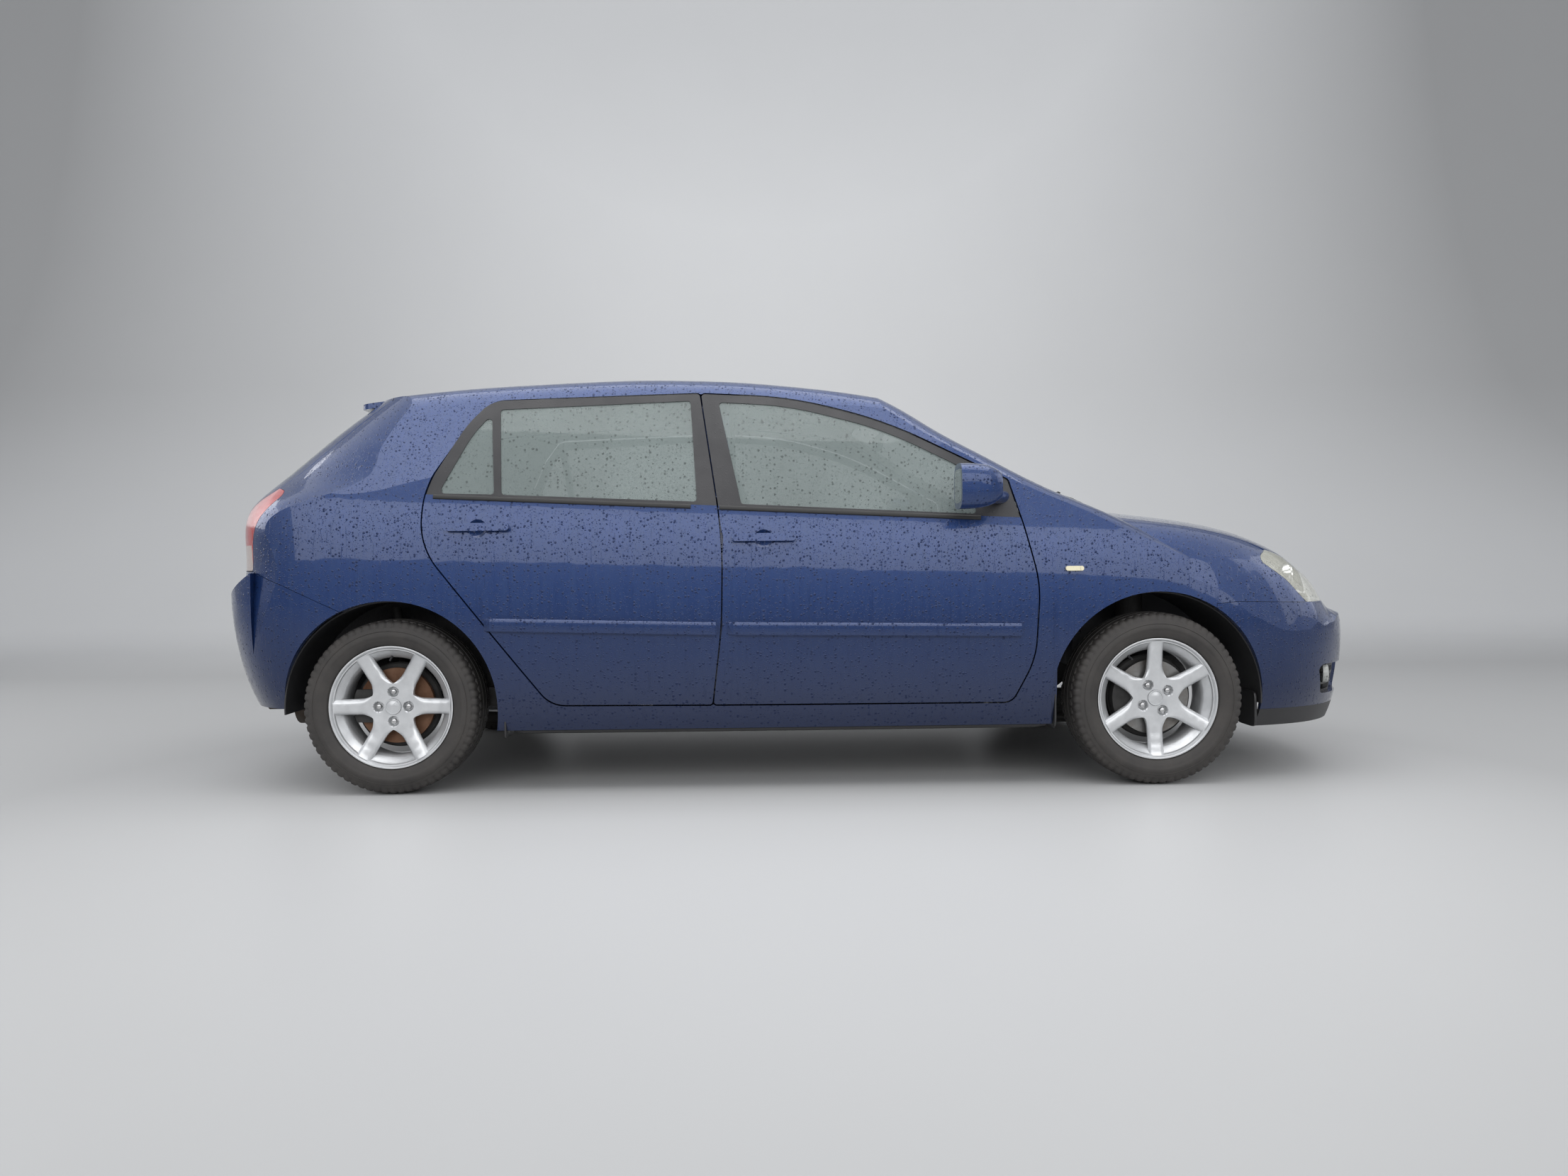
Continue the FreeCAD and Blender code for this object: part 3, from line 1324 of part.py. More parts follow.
bracket = bar(hub_inner - Vector(0, strut / 2, 0), caliper_at + Vector(0, 0.9 * strut, 0), 0.5 * strut)
knuckle = knuckle.fuse([caliper.cut(slot), bracket.cut(slot)])
hat_room = turned([
    (disc_plane - SEAT, 0), (disc_plane - SEAT, size("disc_radius") + SEAT),
    (disc_plane + size("disc_thickness") + SEAT, size("disc_radius") + SEAT),
    (disc_plane + size("disc_thickness") + SEAT, size("disc_hat_radius") + SEAT),
    (size("hub_face_offset"), size("disc_hat_radius") + SEAT), (size("hub_face_offset"), 0)])
hub_room = turned([(size("hub_face_offset") - 3 * wall - 2 * SEAT, 0),
                   (size("hub_face_offset") - 3 * wall - 2 * SEAT, size("disc_hat_radius")),
                   (size("hub_face_offset"), size("disc_hat_radius")),
                   (size("hub_face_offset"), 0)])
hub_room.translate(wheel_centre)
pair("front_%s_knuckle", largest(knuckle.cut(hub_room).cut(slot)))

# Lower arms and crossmember

rail_low_share = 0.28
rail_low = rail_low_share * HEIGHT
plate = size("floor_thickness")
arm_spread_share = 0.11
arm_fork_share = 0.6
arm = size("arm_thickness")
arm_end = ball - Vector(0, 0, arm / 2 + SEAT)
arm_root = Vector(FRONT_AXLE - 0.02 * HALF_LENGTH, -0.42 * HALF_WIDTH, size("ball_joint_height") - arm / 2)
arm_rear = arm_root - Vector(arm_spread_share * HALF_LENGTH, 0, 0)
arm_tip = Vector(arm_end.x, arm_end.y, arm_root.z)
arm_fork = arm_tip + (arm_root - arm_tip) * arm_fork_share
arms = bar(arm_root, arm_tip, arm / 2).fuse(bar(arm_rear, arm_fork, arm / 2))
crossmember = block(
    FRONT_AXLE - 0.18 * HALF_LENGTH, FRONT_AXLE + 0.02 * HALF_LENGTH, -0.43 * HALF_WIDTH, 0,
    arm_root.z - arm, arm_root.z + arm)
mount_side = -size("wheelhouse_inner") + 2 * plate
mounts = [
    bar(Vector(x, mount_side, arm_root.z), Vector(x, mount_side, rail_low - SEAT), arm)
    for x in (arm_rear.x, arm_root.x)]
piece("front_subframe", whole(largest(crossmember.fuse([arms] + mounts))))

# Rear beam axle with trailing arms, stubs, springs and dampers

arm_share = 0.9
beam_share = 1.2
damper_share = 0.7
bush_share = 1.4
pivot_lead_share = 0.14
damper_lean_share = 0.02
damper_rise_share = 0.225
rear_centre = Vector(REAR_AXLE, -size("track_rear") / 2, WHEEL_HEIGHT)
stub_inner = rear_centre + Vector(0, size("tyre_width") / 2 + GAP + arm * arm_share, 0)
stub_outer = rear_centre - Vector(0, size("hub_face_offset") / 3, 0)
pivot = Vector(REAR_AXLE + pivot_lead_share * HALF_LENGTH, stub_inner.y, WHEEL_HEIGHT + arm / 2)
beam_at = stub_inner + (pivot - stub_inner) * 0.4
damper_top = stub_inner + Vector(-damper_lean_share * HALF_LENGTH, 0, damper_rise_share * HEIGHT)
hanger_side = stub_inner.y + arm * arm_share
arm_hanger = block(
    pivot.x - arm, pivot.x + arm, hanger_side, hanger_side + arm, pivot.z, HEIGHT / 2)
arch_line = [Vector(REAR_AXLE, y, size("rear_arch_height")) for y in (-HALF_WIDTH, 0)]
arm_hanger = arm_hanger.common(bar(*arch_line, size("rear_arch_radius") - SEAT))
rear_parts = [
    bar(stub_inner, pivot, arm * arm_share),
    bar(beam_at, Vector(beam_at.x, 0, beam_at.z), arm * beam_share),
    bar(stub_inner, damper_top, arm * damper_share),
    bar(pivot - Vector(0, arm * arm_share, 0), Vector(pivot.x, hanger_side + arm, pivot.z),
        arm * bush_share),
    arm_hanger]
rear_hub_room = hub_room.copy()
rear_hub_room.translate(rear_centre - wheel_centre)
rear_slot = slot.copy()
rear_slot.translate(rear_centre - wheel_centre)
rear_caliper = caliper.cut(slot)
rear_caliper.translate(rear_centre - wheel_centre)
rear_bracket = bracket.copy()
rear_bracket.translate(rear_centre - wheel_centre)
stub = bar(stub_inner, stub_outer, 1.5 * strut)
rear_half = stub.fuse(rear_parts + [rear_caliper, rear_bracket.cut(rear_slot)])
rear_half = largest(rear_half.cut(rear_hub_room).cut(rear_slot))
piece("rear_axle", whole(rear_half))

# Floor, bulkhead, wheelhouses and rear panel


def floor_plate(points, thickness):
    """Pressed floor from a side profile, as wide as the sills and walls leave room for."""
    upper = [Vector(x, 0, z) for x, z in points]
    lower = []
    for i, point in enumerate(upper):
        before = upper[max(i - 1, 0)]
        after = upper[min(i + 1, len(upper) - 1)]
        first = (point - before) if i > 0 else (after - point)
        second = (after - point) if i < len(upper) - 1 else (point - before)
        normals = []
        for step in (first, second):
            unit = Vector(step)
            unit.normalize()
            normals.append(Vector(-unit.z, 0, unit.x))
        shift = (normals[0] + normals[1]) * (thickness / (1 + normals[0].dot(normals[1])))
        lower.append(point + shift)
    wire = Part.makePolygon(
        [p + Vector(0, -HALF_WIDTH, 0) for p in upper + lower[::-1] + upper[:1]])
    return Part.Face(wire).extrude(Vector(0, HALF_WIDTH, 0))


def floor_inset(level):
    return cabin_inset(level) + SEAT


floor = size("floor_height")
boot = size("boot_floor_height")
cowl_height = 0.635 * HEIGHT
floor_profile = [
    (size("rear_panel_place"), 0.45 * HEIGHT), (size("rear_panel_place"), boot),
    (-0.62 * HALF_LENGTH, boot), (-0.55 * HALF_LENGTH, size("seat_floor_height")),
    (-0.27 * HALF_LENGTH, size("seat_floor_height")), (-0.25 * HALF_LENGTH, floor),
    (0.36 * HALF_LENGTH, floor), (0.45 * HALF_LENGTH, floor + 0.1 * HEIGHT),
    (size("firewall_place") - 2 * plate, floor + 0.16 * HEIGHT),
    (size("firewall_place") - 2 * plate, cowl_height)]
floor_right = floor_plate(floor_profile, plate)
floor_right = floor_right.common(hull(floor_inset)).cut(arch_right)
tub_wall = 3 * size("liner_thickness")
tub_outer = bar(
    Vector(REAR_AXLE, -0.9 * HALF_WIDTH, size("rear_arch_height")),
    Vector(REAR_AXLE, -size("rear_wheelhouse_inner") + tub_wall, size("rear_arch_height")),
    size("rear_arch_radius") + tub_wall)
tub_room = bar(
    Vector(REAR_AXLE, -FAR, size("rear_arch_height")),
    Vector(REAR_AXLE, -size("rear_wheelhouse_inner"), size("rear_arch_height")),
    size("rear_arch_radius"))
tub = tub_outer.cut(tub_room).common(hull(floor_inset))
tub = tub.cut(block(-FAR, FAR, -FAR, FAR, -FAR, floor + plate))
beam_room = arm * beam_share + 2 * GAP
tub = tub.cut(block(
    beam_at.x - beam_room, beam_at.x + beam_room, -FAR, FAR, -FAR, beam_at.z + beam_room))
floor_right = floor_right.fuse(tub).cut(rear_hole)
piece("floor_pan", whole(largest(floor_right)))

# Parts built as bound primitives


def bound(kind, name, sizes, place, turn=None):
    """A primitive whose sizes and place are bound to the sheet."""
    result = doc.addObject(kind, name)
    for prop, expression in sizes.items():
        result.setExpression(prop, expression)
    for axis, expression in zip("xyz", place):
        result.setExpression("Placement.Base.%s" % axis, expression)
    if turn:
        axis, angle = turn
        result.Placement.Rotation = Rotation(axis, angle)
    return result


def fused(name, parts):
    result = doc.addObject("Part::MultiFuse", name)
    result.Shapes = parts
    result.Label = name
    pieces.append(result)
    return result


ALONG = (Vector(0, 1, 0), 90)
ACROSS = (Vector(1, 0, 0), -90)

engine = bound("Part::Box", "engine_block", {
    "Length": "Sizes.engine_length", "Width": "Sizes.engine_width",
    "Height": "Sizes.engine_height"}, (
    "Sizes.front_axle_place + Sizes.engine_lead - Sizes.engine_length / 2",
    "-Sizes.engine_width / 2", "Sizes.engine_bottom"))
engine.Label = "engine_block"
pieces.append(engine)

tank = bound("Part::Box", "fuel_tank", {
    "Length": "Sizes.tank_length", "Width": "Sizes.tank_width", "Height": "Sizes.tank_height"}, (
    "Sizes.front_axle_place - Sizes.wheel_base + Sizes.tank_lead",
    "-Sizes.tank_width / 2", "Sizes.seat_floor_height - Sizes.seat_gap - Sizes.tank_height"))
tank.Label = "fuel_tank"
pieces.append(tank)

silencer = bound("Part::Cylinder", "silencer", {
    "Radius": "Sizes.silencer_radius", "Height": "Sizes.silencer_length"}, (
    "Sizes.rear_panel_place + Sizes.overrun",
    "-Sizes.exhaust_side", "Sizes.exhaust_height"), ALONG)
pipe = bound("Part::Cylinder", "pipe", {
    "Radius": "Sizes.pipe_radius", "Height": "Sizes.pipe_length"}, (
    "Sizes.rear_panel_place - Sizes.overrun",
    "-Sizes.exhaust_side", "Sizes.exhaust_height"), ALONG)
hanger = bound("Part::Cylinder", "hanger", {
    "Radius": "Sizes.hanger_radius",
    "Height": "Sizes.boot_floor_height - Sizes.exhaust_height - Sizes.seat_gap"}, (
    "Sizes.rear_panel_place + Sizes.overrun + Sizes.silencer_length / 2",
    "-Sizes.exhaust_side", "Sizes.exhaust_height"))
fused("exhaust", [silencer, pipe, hanger])

wheel_rim = bound("Part::Torus", "wheel_ring", {
    "Radius1": "Sizes.steering_wheel_radius", "Radius2": "Sizes.steering_wheel_grip"}, (
    "Sizes.steering_wheel_place", "Sizes.steering_wheel_side", "Sizes.steering_wheel_height"))
column = bound("Part::Cylinder", "steering_column", {
    "Radius": "Sizes.column_radius", "Height": "Sizes.column_length"}, (
    "Sizes.steering_wheel_place", "Sizes.steering_wheel_side", "Sizes.steering_wheel_height"))
spokes = []
for i in range(3):
    spoke = bound("Part::Cylinder", "wheel_spoke_%d" % i, {
        "Radius": "Sizes.steering_wheel_grip * 0.9", "Height": "Sizes.steering_wheel_radius"}, (
        "Sizes.steering_wheel_place", "Sizes.steering_wheel_side", "Sizes.steering_wheel_height"))
    spokes.append(spoke)
column_angle = 115
column_turn = Rotation(Vector(0, 1, 0), column_angle)
wheel_rim.Placement.Rotation = column_turn
column.Placement.Rotation = column_turn
for i, spoke in enumerate(spokes):
    spoke.Placement.Rotation = column_turn * Rotation(Vector(0, 0, 1), 120 * i) * Rotation(
        Vector(0, 1, 0), 90)
fused("steering_wheel", [wheel_rim, column] + spokes)

# Dashboard and seats


def profile_piece(shares, start, end):
    return side_prism(corner_points(shares), start, end)


dash_shares = [
    (0.3110, 0.6211, 0.0273), (0.3014, 0.5256, 0.0205), (0.3876, 0.4164, 0.0273),
    (0.4426, 0.4164, 0.0205), (0.4642, 0.6143, 0.0341), (0.3708, 0.6484, 0.0546),
]
dash_half = 0.84 * HALF_WIDTH
column_axis = column_turn.multVec(Vector(0, 0, 1))
column_start = Vector(
    size("steering_wheel_place"), size("steering_wheel_side"), size("steering_wheel_height"))
column_room = bar(
    column_start, column_start + column_axis * (size("column_length") + SEAT),
    size("column_radius") + SEAT)
dash = profile_piece(dash_shares, -dash_half, dash_half).cut(column_room)
piece("dashboard", dash)

seat_width = size("seat_width")
seat_side = size("seat_side")
cushion_shares = [
    (-0.0813, 0.2867, 0.0341), (0.1770, 0.3003, 0.0171), (0.1818, 0.3891, 0.0307),
    (-0.0622, 0.3686, 0.0205),
]
back_shares = [
    (-0.0813, 0.2867, 0.0341), (-0.0239, 0.3686, 0.0341), (-0.1196, 0.7645, 0.0341),
    (-0.1818, 0.7577, 0.0341),
]
headrest_shares = [
    (-0.1292, 0.7850, 0.0205), (-0.1388, 0.8806, 0.0273), (-0.1722, 0.8806, 0.0205),
    (-0.1722, 0.7850, 0.0205),
]
base_shares = [(-0.0718, 0.1826, 0), (0.1483, 0.1826, 0), (0.1579, 0.2935, 0), (-0.0670, 0.2880, 0)]
left = seat_side - seat_width / 2
right = seat_side + seat_width / 2
cushion = profile_piece(cushion_shares, left, right)
back = profile_piece(back_shares, left, right)
head = profile_piece(headrest_shares, seat_side - seat_width / 4, seat_side + seat_width / 4)
neck_low = Vector(-0.1501 * HALF_LENGTH, seat_side, 0.72 * HEIGHT)
neck_high = Vector(-0.1530 * HALF_LENGTH, seat_side, 0.82 * HEIGHT)
seat = cushion.fuse([back, head, bar(neck_low, neck_high, size("pipe_radius") / 2)])
piece("front_seats", Part.Compound([largest(seat), other_side(largest(seat))]))
base = profile_piece(base_shares, left + seat_width / 5, right - seat_width / 5)
base = base.cut(moved(seat, 0, 0, -SEAT))
base = largest(base.common(block(-FAR, FAR, 0, FAR, floor + SEAT, FAR)))
piece("seat_bases", Part.Compound([base, other_side(base)]))

rear_cushion_shares = [
    (-0.4641, 0.2867, 0.0205), (-0.2440, 0.2730, 0.0341), (-0.2392, 0.3754, 0.0512),
    (-0.4545, 0.3686, 0.0205),
]
rear_back_shares = [
    (-0.4641, 0.2867, 0.0205), (-0.4163, 0.3686, 0.0341), (-0.5215, 0.7099, 0.0341),
    (-0.5789, 0.7031, 0.0273),
]
rear_half_width = size("rear_seat_width") / 2
rear_cushion = profile_piece(rear_cushion_shares, -rear_half_width, rear_half_width)
rear_back = profile_piece(rear_back_shares, -rear_half_width, rear_half_width)
rear_seat = rear_cushion.fuse(rear_back)
piece("rear_seat", largest(rear_seat.cut([
    bar(Vector(REAR_AXLE, -FAR, size("rear_arch_height")),
        Vector(REAR_AXLE, FAR, size("rear_arch_height")),
        size("rear_arch_radius") + tub_wall + GAP),
    block(-FAR, FAR, -FAR, FAR, -FAR, size("seat_floor_height") + plate + SEAT)])))

# Mirrors, cowl, wipers and wheel-arch liners

mirror_centre = Vector(0.2727 * HALF_LENGTH, -size("mirror_reach"), 0.694 * HEIGHT)


def mirror():
    """Door mirror: a shell that tapers forward, on a foot at the corner of the window."""
    depth = size("mirror_depth")
    wide = size("mirror_width") / 2
    tall = size("mirror_height") / 2
    rear_x = mirror_centre.x - depth / 2
    sections = []
    for along, scale in ((0, 1), (0.35, 0.98), (0.7, 0.84), (0.93, 0.55)):
        x = rear_x + along * depth
        points = []
        for i in range(16):
            angle = 2 * math.pi * i / 16
            c = math.cos(angle)
            q = math.sin(angle)
            power = 0.62
            points.append(Vector(
                x, mirror_centre.y + wide * scale * math.copysign(abs(c) ** power, c),
                mirror_centre.z + tall * scale * math.copysign(abs(q) ** power, q)))
        curve = Part.BSplineCurve()
        curve.interpolate(Points=points, PeriodicFlag=True)
        sections.append(Part.Wire([curve.toShape()]))
    head = Part.makeLoft(sections, True, False)
    foot_low = Vector(0.325 * HALF_LENGTH, -0.895 * HALF_WIDTH, 0.675 * HEIGHT)
    foot_high = mirror_centre + Vector(0.2 * depth, 0.5 * wide, -0.4 * tall)
    return largest(head.fuse(bar(foot_low, foot_high, 0.24 * tall + GAP)))


mirror_shape = mirror().cut(moved(outer, 0, size("frame_recess") - SEAT, 0))
pair("front_%s_mirror", largest(mirror_shape))

cowl_shares = [(0.4976, 0.8, 0), (0.4976, -0.8, 0), (0.6, -0.8, 0), (0.6, 0.8, 0)]
cowl_reach = block(0.46 * HALF_LENGTH, 0.57 * HALF_LENGTH, -0.78 * HALF_WIDTH, 0, 0.5 * HEIGHT, HEIGHT)
cowl_drop = size("bonnet_thickness") + GAP
cowl_skin = moved(bonnet_under, 0, 0, -cowl_drop).cut(moved(bonnet_under, 0, 0, -cowl_drop - plate))
cowl_skin = cowl_skin.common(cowl_reach).common(front_form)
cowl_skin = cowl_skin.cut(block(-FAR, size("firewall_place") - plate, -FAR, FAR, -FAR, FAR))
cowl = largest(cowl_skin.cut([shell_right, wing]))
piece("cowl_panel", whole(cowl))


def liner(axle, arch, side_wall, inner, region_top):
    """Plastic lining over a wheel, seated under the arch's edge."""
    outside = bar(Vector(axle, -0.93 * HALF_WIDTH, arch[0]), Vector(axle, -inner, arch[0]), arch[1] - SEAT)
    inside = bar(Vector(axle, -HALF_WIDTH, arch[0]), Vector(axle, 0, arch[0]), arch[1] - side_wall)
    shell = outside.cut(inside)
    return shell.common(block(-FAR, FAR, -FAR, FAR, size("sill_bottom") + OVERRUN, FAR))


front_liner = liner(
    FRONT_AXLE, (size("front_arch_height"), size("front_arch_radius")), size("liner_thickness"),
    size("wheelhouse_inner"), 0)
strut_room = bar(strut_foot, strut_top, 2.1 * strut + GAP)
strut_rooms = []
for angle in steer_angles:
    strut_rooms.append(strut_room.copy())
    strut_rooms[-1].rotate(ball, strut_top - ball, angle)
front_liner = largest(front_liner.cut(strut_rooms + [a_post]))
rear_liner = liner(
    REAR_AXLE, (size("rear_arch_height"), size("rear_arch_radius")), size("liner_thickness"),
    size("rear_wheelhouse_inner"), 0)
damper_room = bar(stub_inner + Vector(0, arm, 0), damper_top, arm + GAP)
hanger_room = block(
    pivot.x - arm - GAP, pivot.x + arm + GAP, hanger_side - GAP, 0, pivot.z, HEIGHT / 2)
rear_liner = largest(rear_liner.cut([damper_room, hanger_room, floor_right]))
piece("wheel_arch_liners", Part.Compound(
    [front_liner, other_side(front_liner), rear_liner, other_side(rear_liner)]))

# Inner wings carry the strut tops and close the engine bay's sides

tower_wall = size("floor_thickness") / 2
tower = block(
    size("firewall_place"), 0.86 * HALF_LENGTH, -size("wheelhouse_inner") + SEAT,
    -size("wheelhouse_inner") + tower_wall, 0.3 * HEIGHT, 0.55 * HEIGHT)
tower_box = block(
    strut_top.x - 3 * strut, strut_top.x + 3 * strut, -0.8 * HALF_WIDTH,
    -size("wheelhouse_inner") + tower_wall, strut_top.z + GAP, strut_top.z + GAP + tower_wall)
tower_side = block(
    strut_top.x - 3 * strut, strut_top.x + 3 * strut, -size("wheelhouse_inner") + SEAT,
    -size("wheelhouse_inner") + tower_wall, 0.5 * HEIGHT, strut_top.z + GAP + tower_wall)
rail = block(
    size("firewall_place") - 2 * plate, 0.93 * HALF_LENGTH, -size("wheelhouse_inner") + SEAT,
    -size("wheelhouse_inner") + 4 * plate, rail_low, 0.34 * HEIGHT)
inner_wing = tower.fuse([tower_box, tower_side, rail]).common(moved(front_right, 0, 0, -4 * plate))
front_beam = block(
    0.91 * HALF_LENGTH, 0.93 * HALF_LENGTH, -size("wheelhouse_inner") + plate, 0,
    rail_low, 0.36 * HEIGHT)
inner_wing = largest(inner_wing.fuse(front_beam))
piece("engine_bay_frame", whole(inner_wing))

grille_parts = []
for corners in (intake, corner_intake):
    grille_reach = rear_prism(
        grown(corners, -SEAT), intake_place_share * HALF_LENGTH, HALF_LENGTH + OVERRUN)
    bars = slats(grille_reach, grille_low_share * HEIGHT, grille_top_share * HEIGHT, 4)
    grille_parts.append(solids_over(bars.common(RIGHT_HALF), 0.3))
middle_grille = whole(grille_parts[0])
piece("lower_grille", Part.Compound(
    middle_grille.Solids + grille_parts[1].Solids + other_side(grille_parts[1]).Solids))

doc.recompute()
for item in doc.Objects:
    if "Invalid" in item.State or "Error" in item.State:
        raise RuntimeError("%s did not build" % item.Label)
for item in pieces:
    if item.Shape.isNull() or not item.Shape.isValid():
        raise RuntimeError("%s has a broken shape" % item.Label)
os.makedirs("parts", exist_ok=True)
for item in pieces:
    item.Shape.exportStep("parts/%s.step" % item.Label)
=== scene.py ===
# Five-door hatchback car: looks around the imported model. Metres, +X forward, +Y left, +Z up.
import json
import math

import bmesh
import bpy
from mathutils import Matrix, Vector
from mathutils.bvhtree import BVHTree


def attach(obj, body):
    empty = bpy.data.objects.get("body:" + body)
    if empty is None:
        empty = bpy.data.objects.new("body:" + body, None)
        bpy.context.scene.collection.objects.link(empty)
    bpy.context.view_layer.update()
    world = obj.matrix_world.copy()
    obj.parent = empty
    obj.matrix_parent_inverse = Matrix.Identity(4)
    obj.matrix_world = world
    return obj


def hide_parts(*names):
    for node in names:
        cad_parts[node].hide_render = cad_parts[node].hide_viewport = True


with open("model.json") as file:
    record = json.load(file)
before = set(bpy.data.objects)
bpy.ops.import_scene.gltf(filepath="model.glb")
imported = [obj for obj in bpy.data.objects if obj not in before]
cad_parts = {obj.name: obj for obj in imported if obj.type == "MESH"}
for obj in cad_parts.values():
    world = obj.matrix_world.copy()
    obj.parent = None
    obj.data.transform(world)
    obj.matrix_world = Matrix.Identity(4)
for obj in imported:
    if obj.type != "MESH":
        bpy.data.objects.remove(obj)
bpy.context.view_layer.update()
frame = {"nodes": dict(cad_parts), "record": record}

nodes = frame["nodes"]
scene = bpy.context.scene
scene.view_settings.view_transform = "Standard"

# Camera, as the photograph was taken

PHOTO_WIDTH = 2212
FOCAL_PIXELS = 1550
SENSOR = 36.0
CLIP_END = 100
CAMERA_PLACE = Vector((-0.1775, -4.5298, 0.7603))
YAW = 0.0263
PITCH = 0.0203
ROLL = -0.0088


def make_camera():
    data = bpy.data.cameras.new("camera")
    data.sensor_width = SENSOR
    data.sensor_fit = "HORIZONTAL"
    data.lens = FOCAL_PIXELS / PHOTO_WIDTH * SENSOR
    data.clip_end = CLIP_END
    camera = bpy.data.objects.new("camera", data)
    scene.collection.objects.link(camera)
    forward = Vector((math.sin(YAW), math.cos(YAW), 0))
    right = Vector((math.cos(YAW), -math.sin(YAW), 0))
    up = Vector((0, 0, 1))
    ahead = forward * math.cos(PITCH) - up * math.sin(PITCH)
    above = forward * math.sin(PITCH) + up * math.cos(PITCH)
    across = right * math.cos(ROLL) + above * math.sin(ROLL)
    top = -right * math.sin(ROLL) + above * math.cos(ROLL)
    matrix = Matrix((across, top, -ahead)).transposed().to_4x4()
    matrix.translation = CAMERA_PLACE
    camera.matrix_world = matrix
    scene.camera = camera


make_camera()

# Node helpers

MATERIALS = {}


class Shader:
    """A node material under construction, in the object's own coordinates."""

    def __init__(self, name):
        MATERIALS[name] = material = bpy.data.materials.new(name)
        material.use_nodes = True
        self.tree = material.node_tree
        self.tree.nodes.clear()
        output = self.tree.nodes.new("ShaderNodeOutputMaterial")
        self.bsdf = self.tree.nodes.new("ShaderNodeBsdfPrincipled")
        self.tree.links.new(self.bsdf.outputs[0], output.inputs["Surface"])
        self.place = self.tree.nodes.new("ShaderNodeTexCoord").outputs["Object"]

    def feed(self, socket, value):
        """Give a socket a number, a colour or the output of another node."""
        if isinstance(value, (int, float)):
            socket.default_value = value
        elif isinstance(value, tuple):
            socket.default_value = (*value, 1)
        else:
            self.tree.links.new(value, socket)

    def node(self, kind, **inputs):
        node = self.tree.nodes.new("ShaderNode" + kind)
        for name, value in inputs.items():
            self.feed(node.inputs[name], value)
        return node

    def stretched(self, scale):
        mapping = self.node("Mapping", Vector=self.place)
        mapping.inputs["Scale"].default_value = scale
        return mapping.outputs["Vector"]

    def noise(self, scale, detail=3.0, roughness=0.5, place=None):
        node = self.node("TexNoise", Scale=scale, Detail=detail, Roughness=roughness,
                         Vector=place or self.place)
        return node.outputs["Fac"]

    def voronoi(self, scale, output="Distance"):
        return self.node("TexVoronoi", Scale=scale, Vector=self.place).outputs[output]

    def split(self, output=None):
        node = self.node("SeparateXYZ")
        self.feed(node.inputs[0], output or self.place)
        return node.outputs

    def ramp(self, fac, stops):
        node = self.node("ValToRGB", Fac=fac)
        ramp = node.color_ramp
        while len(ramp.elements) < len(stops):
            ramp.elements.new(0.5)
        for element, (position, value) in zip(ramp.elements, stops):
            element.position = position
            rgb = (value, value, value) if isinstance(value, (int, float)) else value
            element.color = (*rgb, 1)
        return node.outputs["Color"]

    def math(self, operation, *values):
        node = self.node("Math")
        node.operation = operation
        for socket, value in zip(node.inputs, values):
            self.feed(socket, value)
        return node.outputs[0]

    def times(self, first, second):
        return self.math("MULTIPLY", first, second)

    def plus(self, first, second):
        return self.math("ADD", first, second)

    def mix(self, fac, first, second):
        node = self.node("Mix")
        node.data_type = "RGBA"
        for name, value in (("Factor", fac), ("A", first), ("B", second)):
            self.feed(node.inputs[name], value)
        return node.outputs["Result"]

    def bump(self, height, distance, strength, under=None):
        node = self.node("Bump", Height=height, Distance=distance, Strength=strength)
        if under is not None:
            self.feed(node.inputs["Normal"], under)
        return node.outputs["Normal"]

    def set(self, **values):
        for name, value in values.items():
            self.feed(self.bsdf.inputs[name.replace("_", " ")], value)

    def ramped(self, name, fac, *stops):
        """Drive one input of the surface by a ramp."""
        self.feed(self.bsdf.inputs[name], self.ramp(fac, stops))

    def normal(self, output, coat=True):
        self.set(Normal=output)
        if coat:
            self.set(Coat_Normal=output)


DROP_SIZE = 0.42
DROP_ROUNDNESS = 0.6


def drops(shader, scale, cover):
    """Height of scattered round water drops: a share of the cells holds a drop."""
    pick = shader.split(shader.voronoi(scale, "Color"))[0]
    dome = shader.math("SUBTRACT", shader.times(pick, DROP_SIZE), shader.voronoi(scale))
    dome = shader.math("MAXIMUM", dome, 0.0)
    dome = shader.times(dome, shader.math("GREATER_THAN", pick, 1 - cover))
    return shader.math("POWER", dome, DROP_ROUNDNESS)


def tinted(rgb, share):
    return tuple(min(1.0, v * share) for v in rgb)


# Materials

FLAKE_SCALE = 2600.0
FLAKES = ((0.0, (0.006, 0.021, 0.088)), (0.7, (0.009, 0.031, 0.125)), (1.0, (0.03, 0.08, 0.26)))
FILM_SHEEN_BLUE = (0.03, 0.058, 0.135)
GRIME_GREY = (0.036, 0.037, 0.04)
SHADED_BLUE = (0.004, 0.012, 0.048)
DROP_BLUE = (0.004, 0.012, 0.05)
FILM_STRETCH = (46.0, 46.0, 1.8)
RUN_STRETCH = (120.0, 120.0, 1.1)


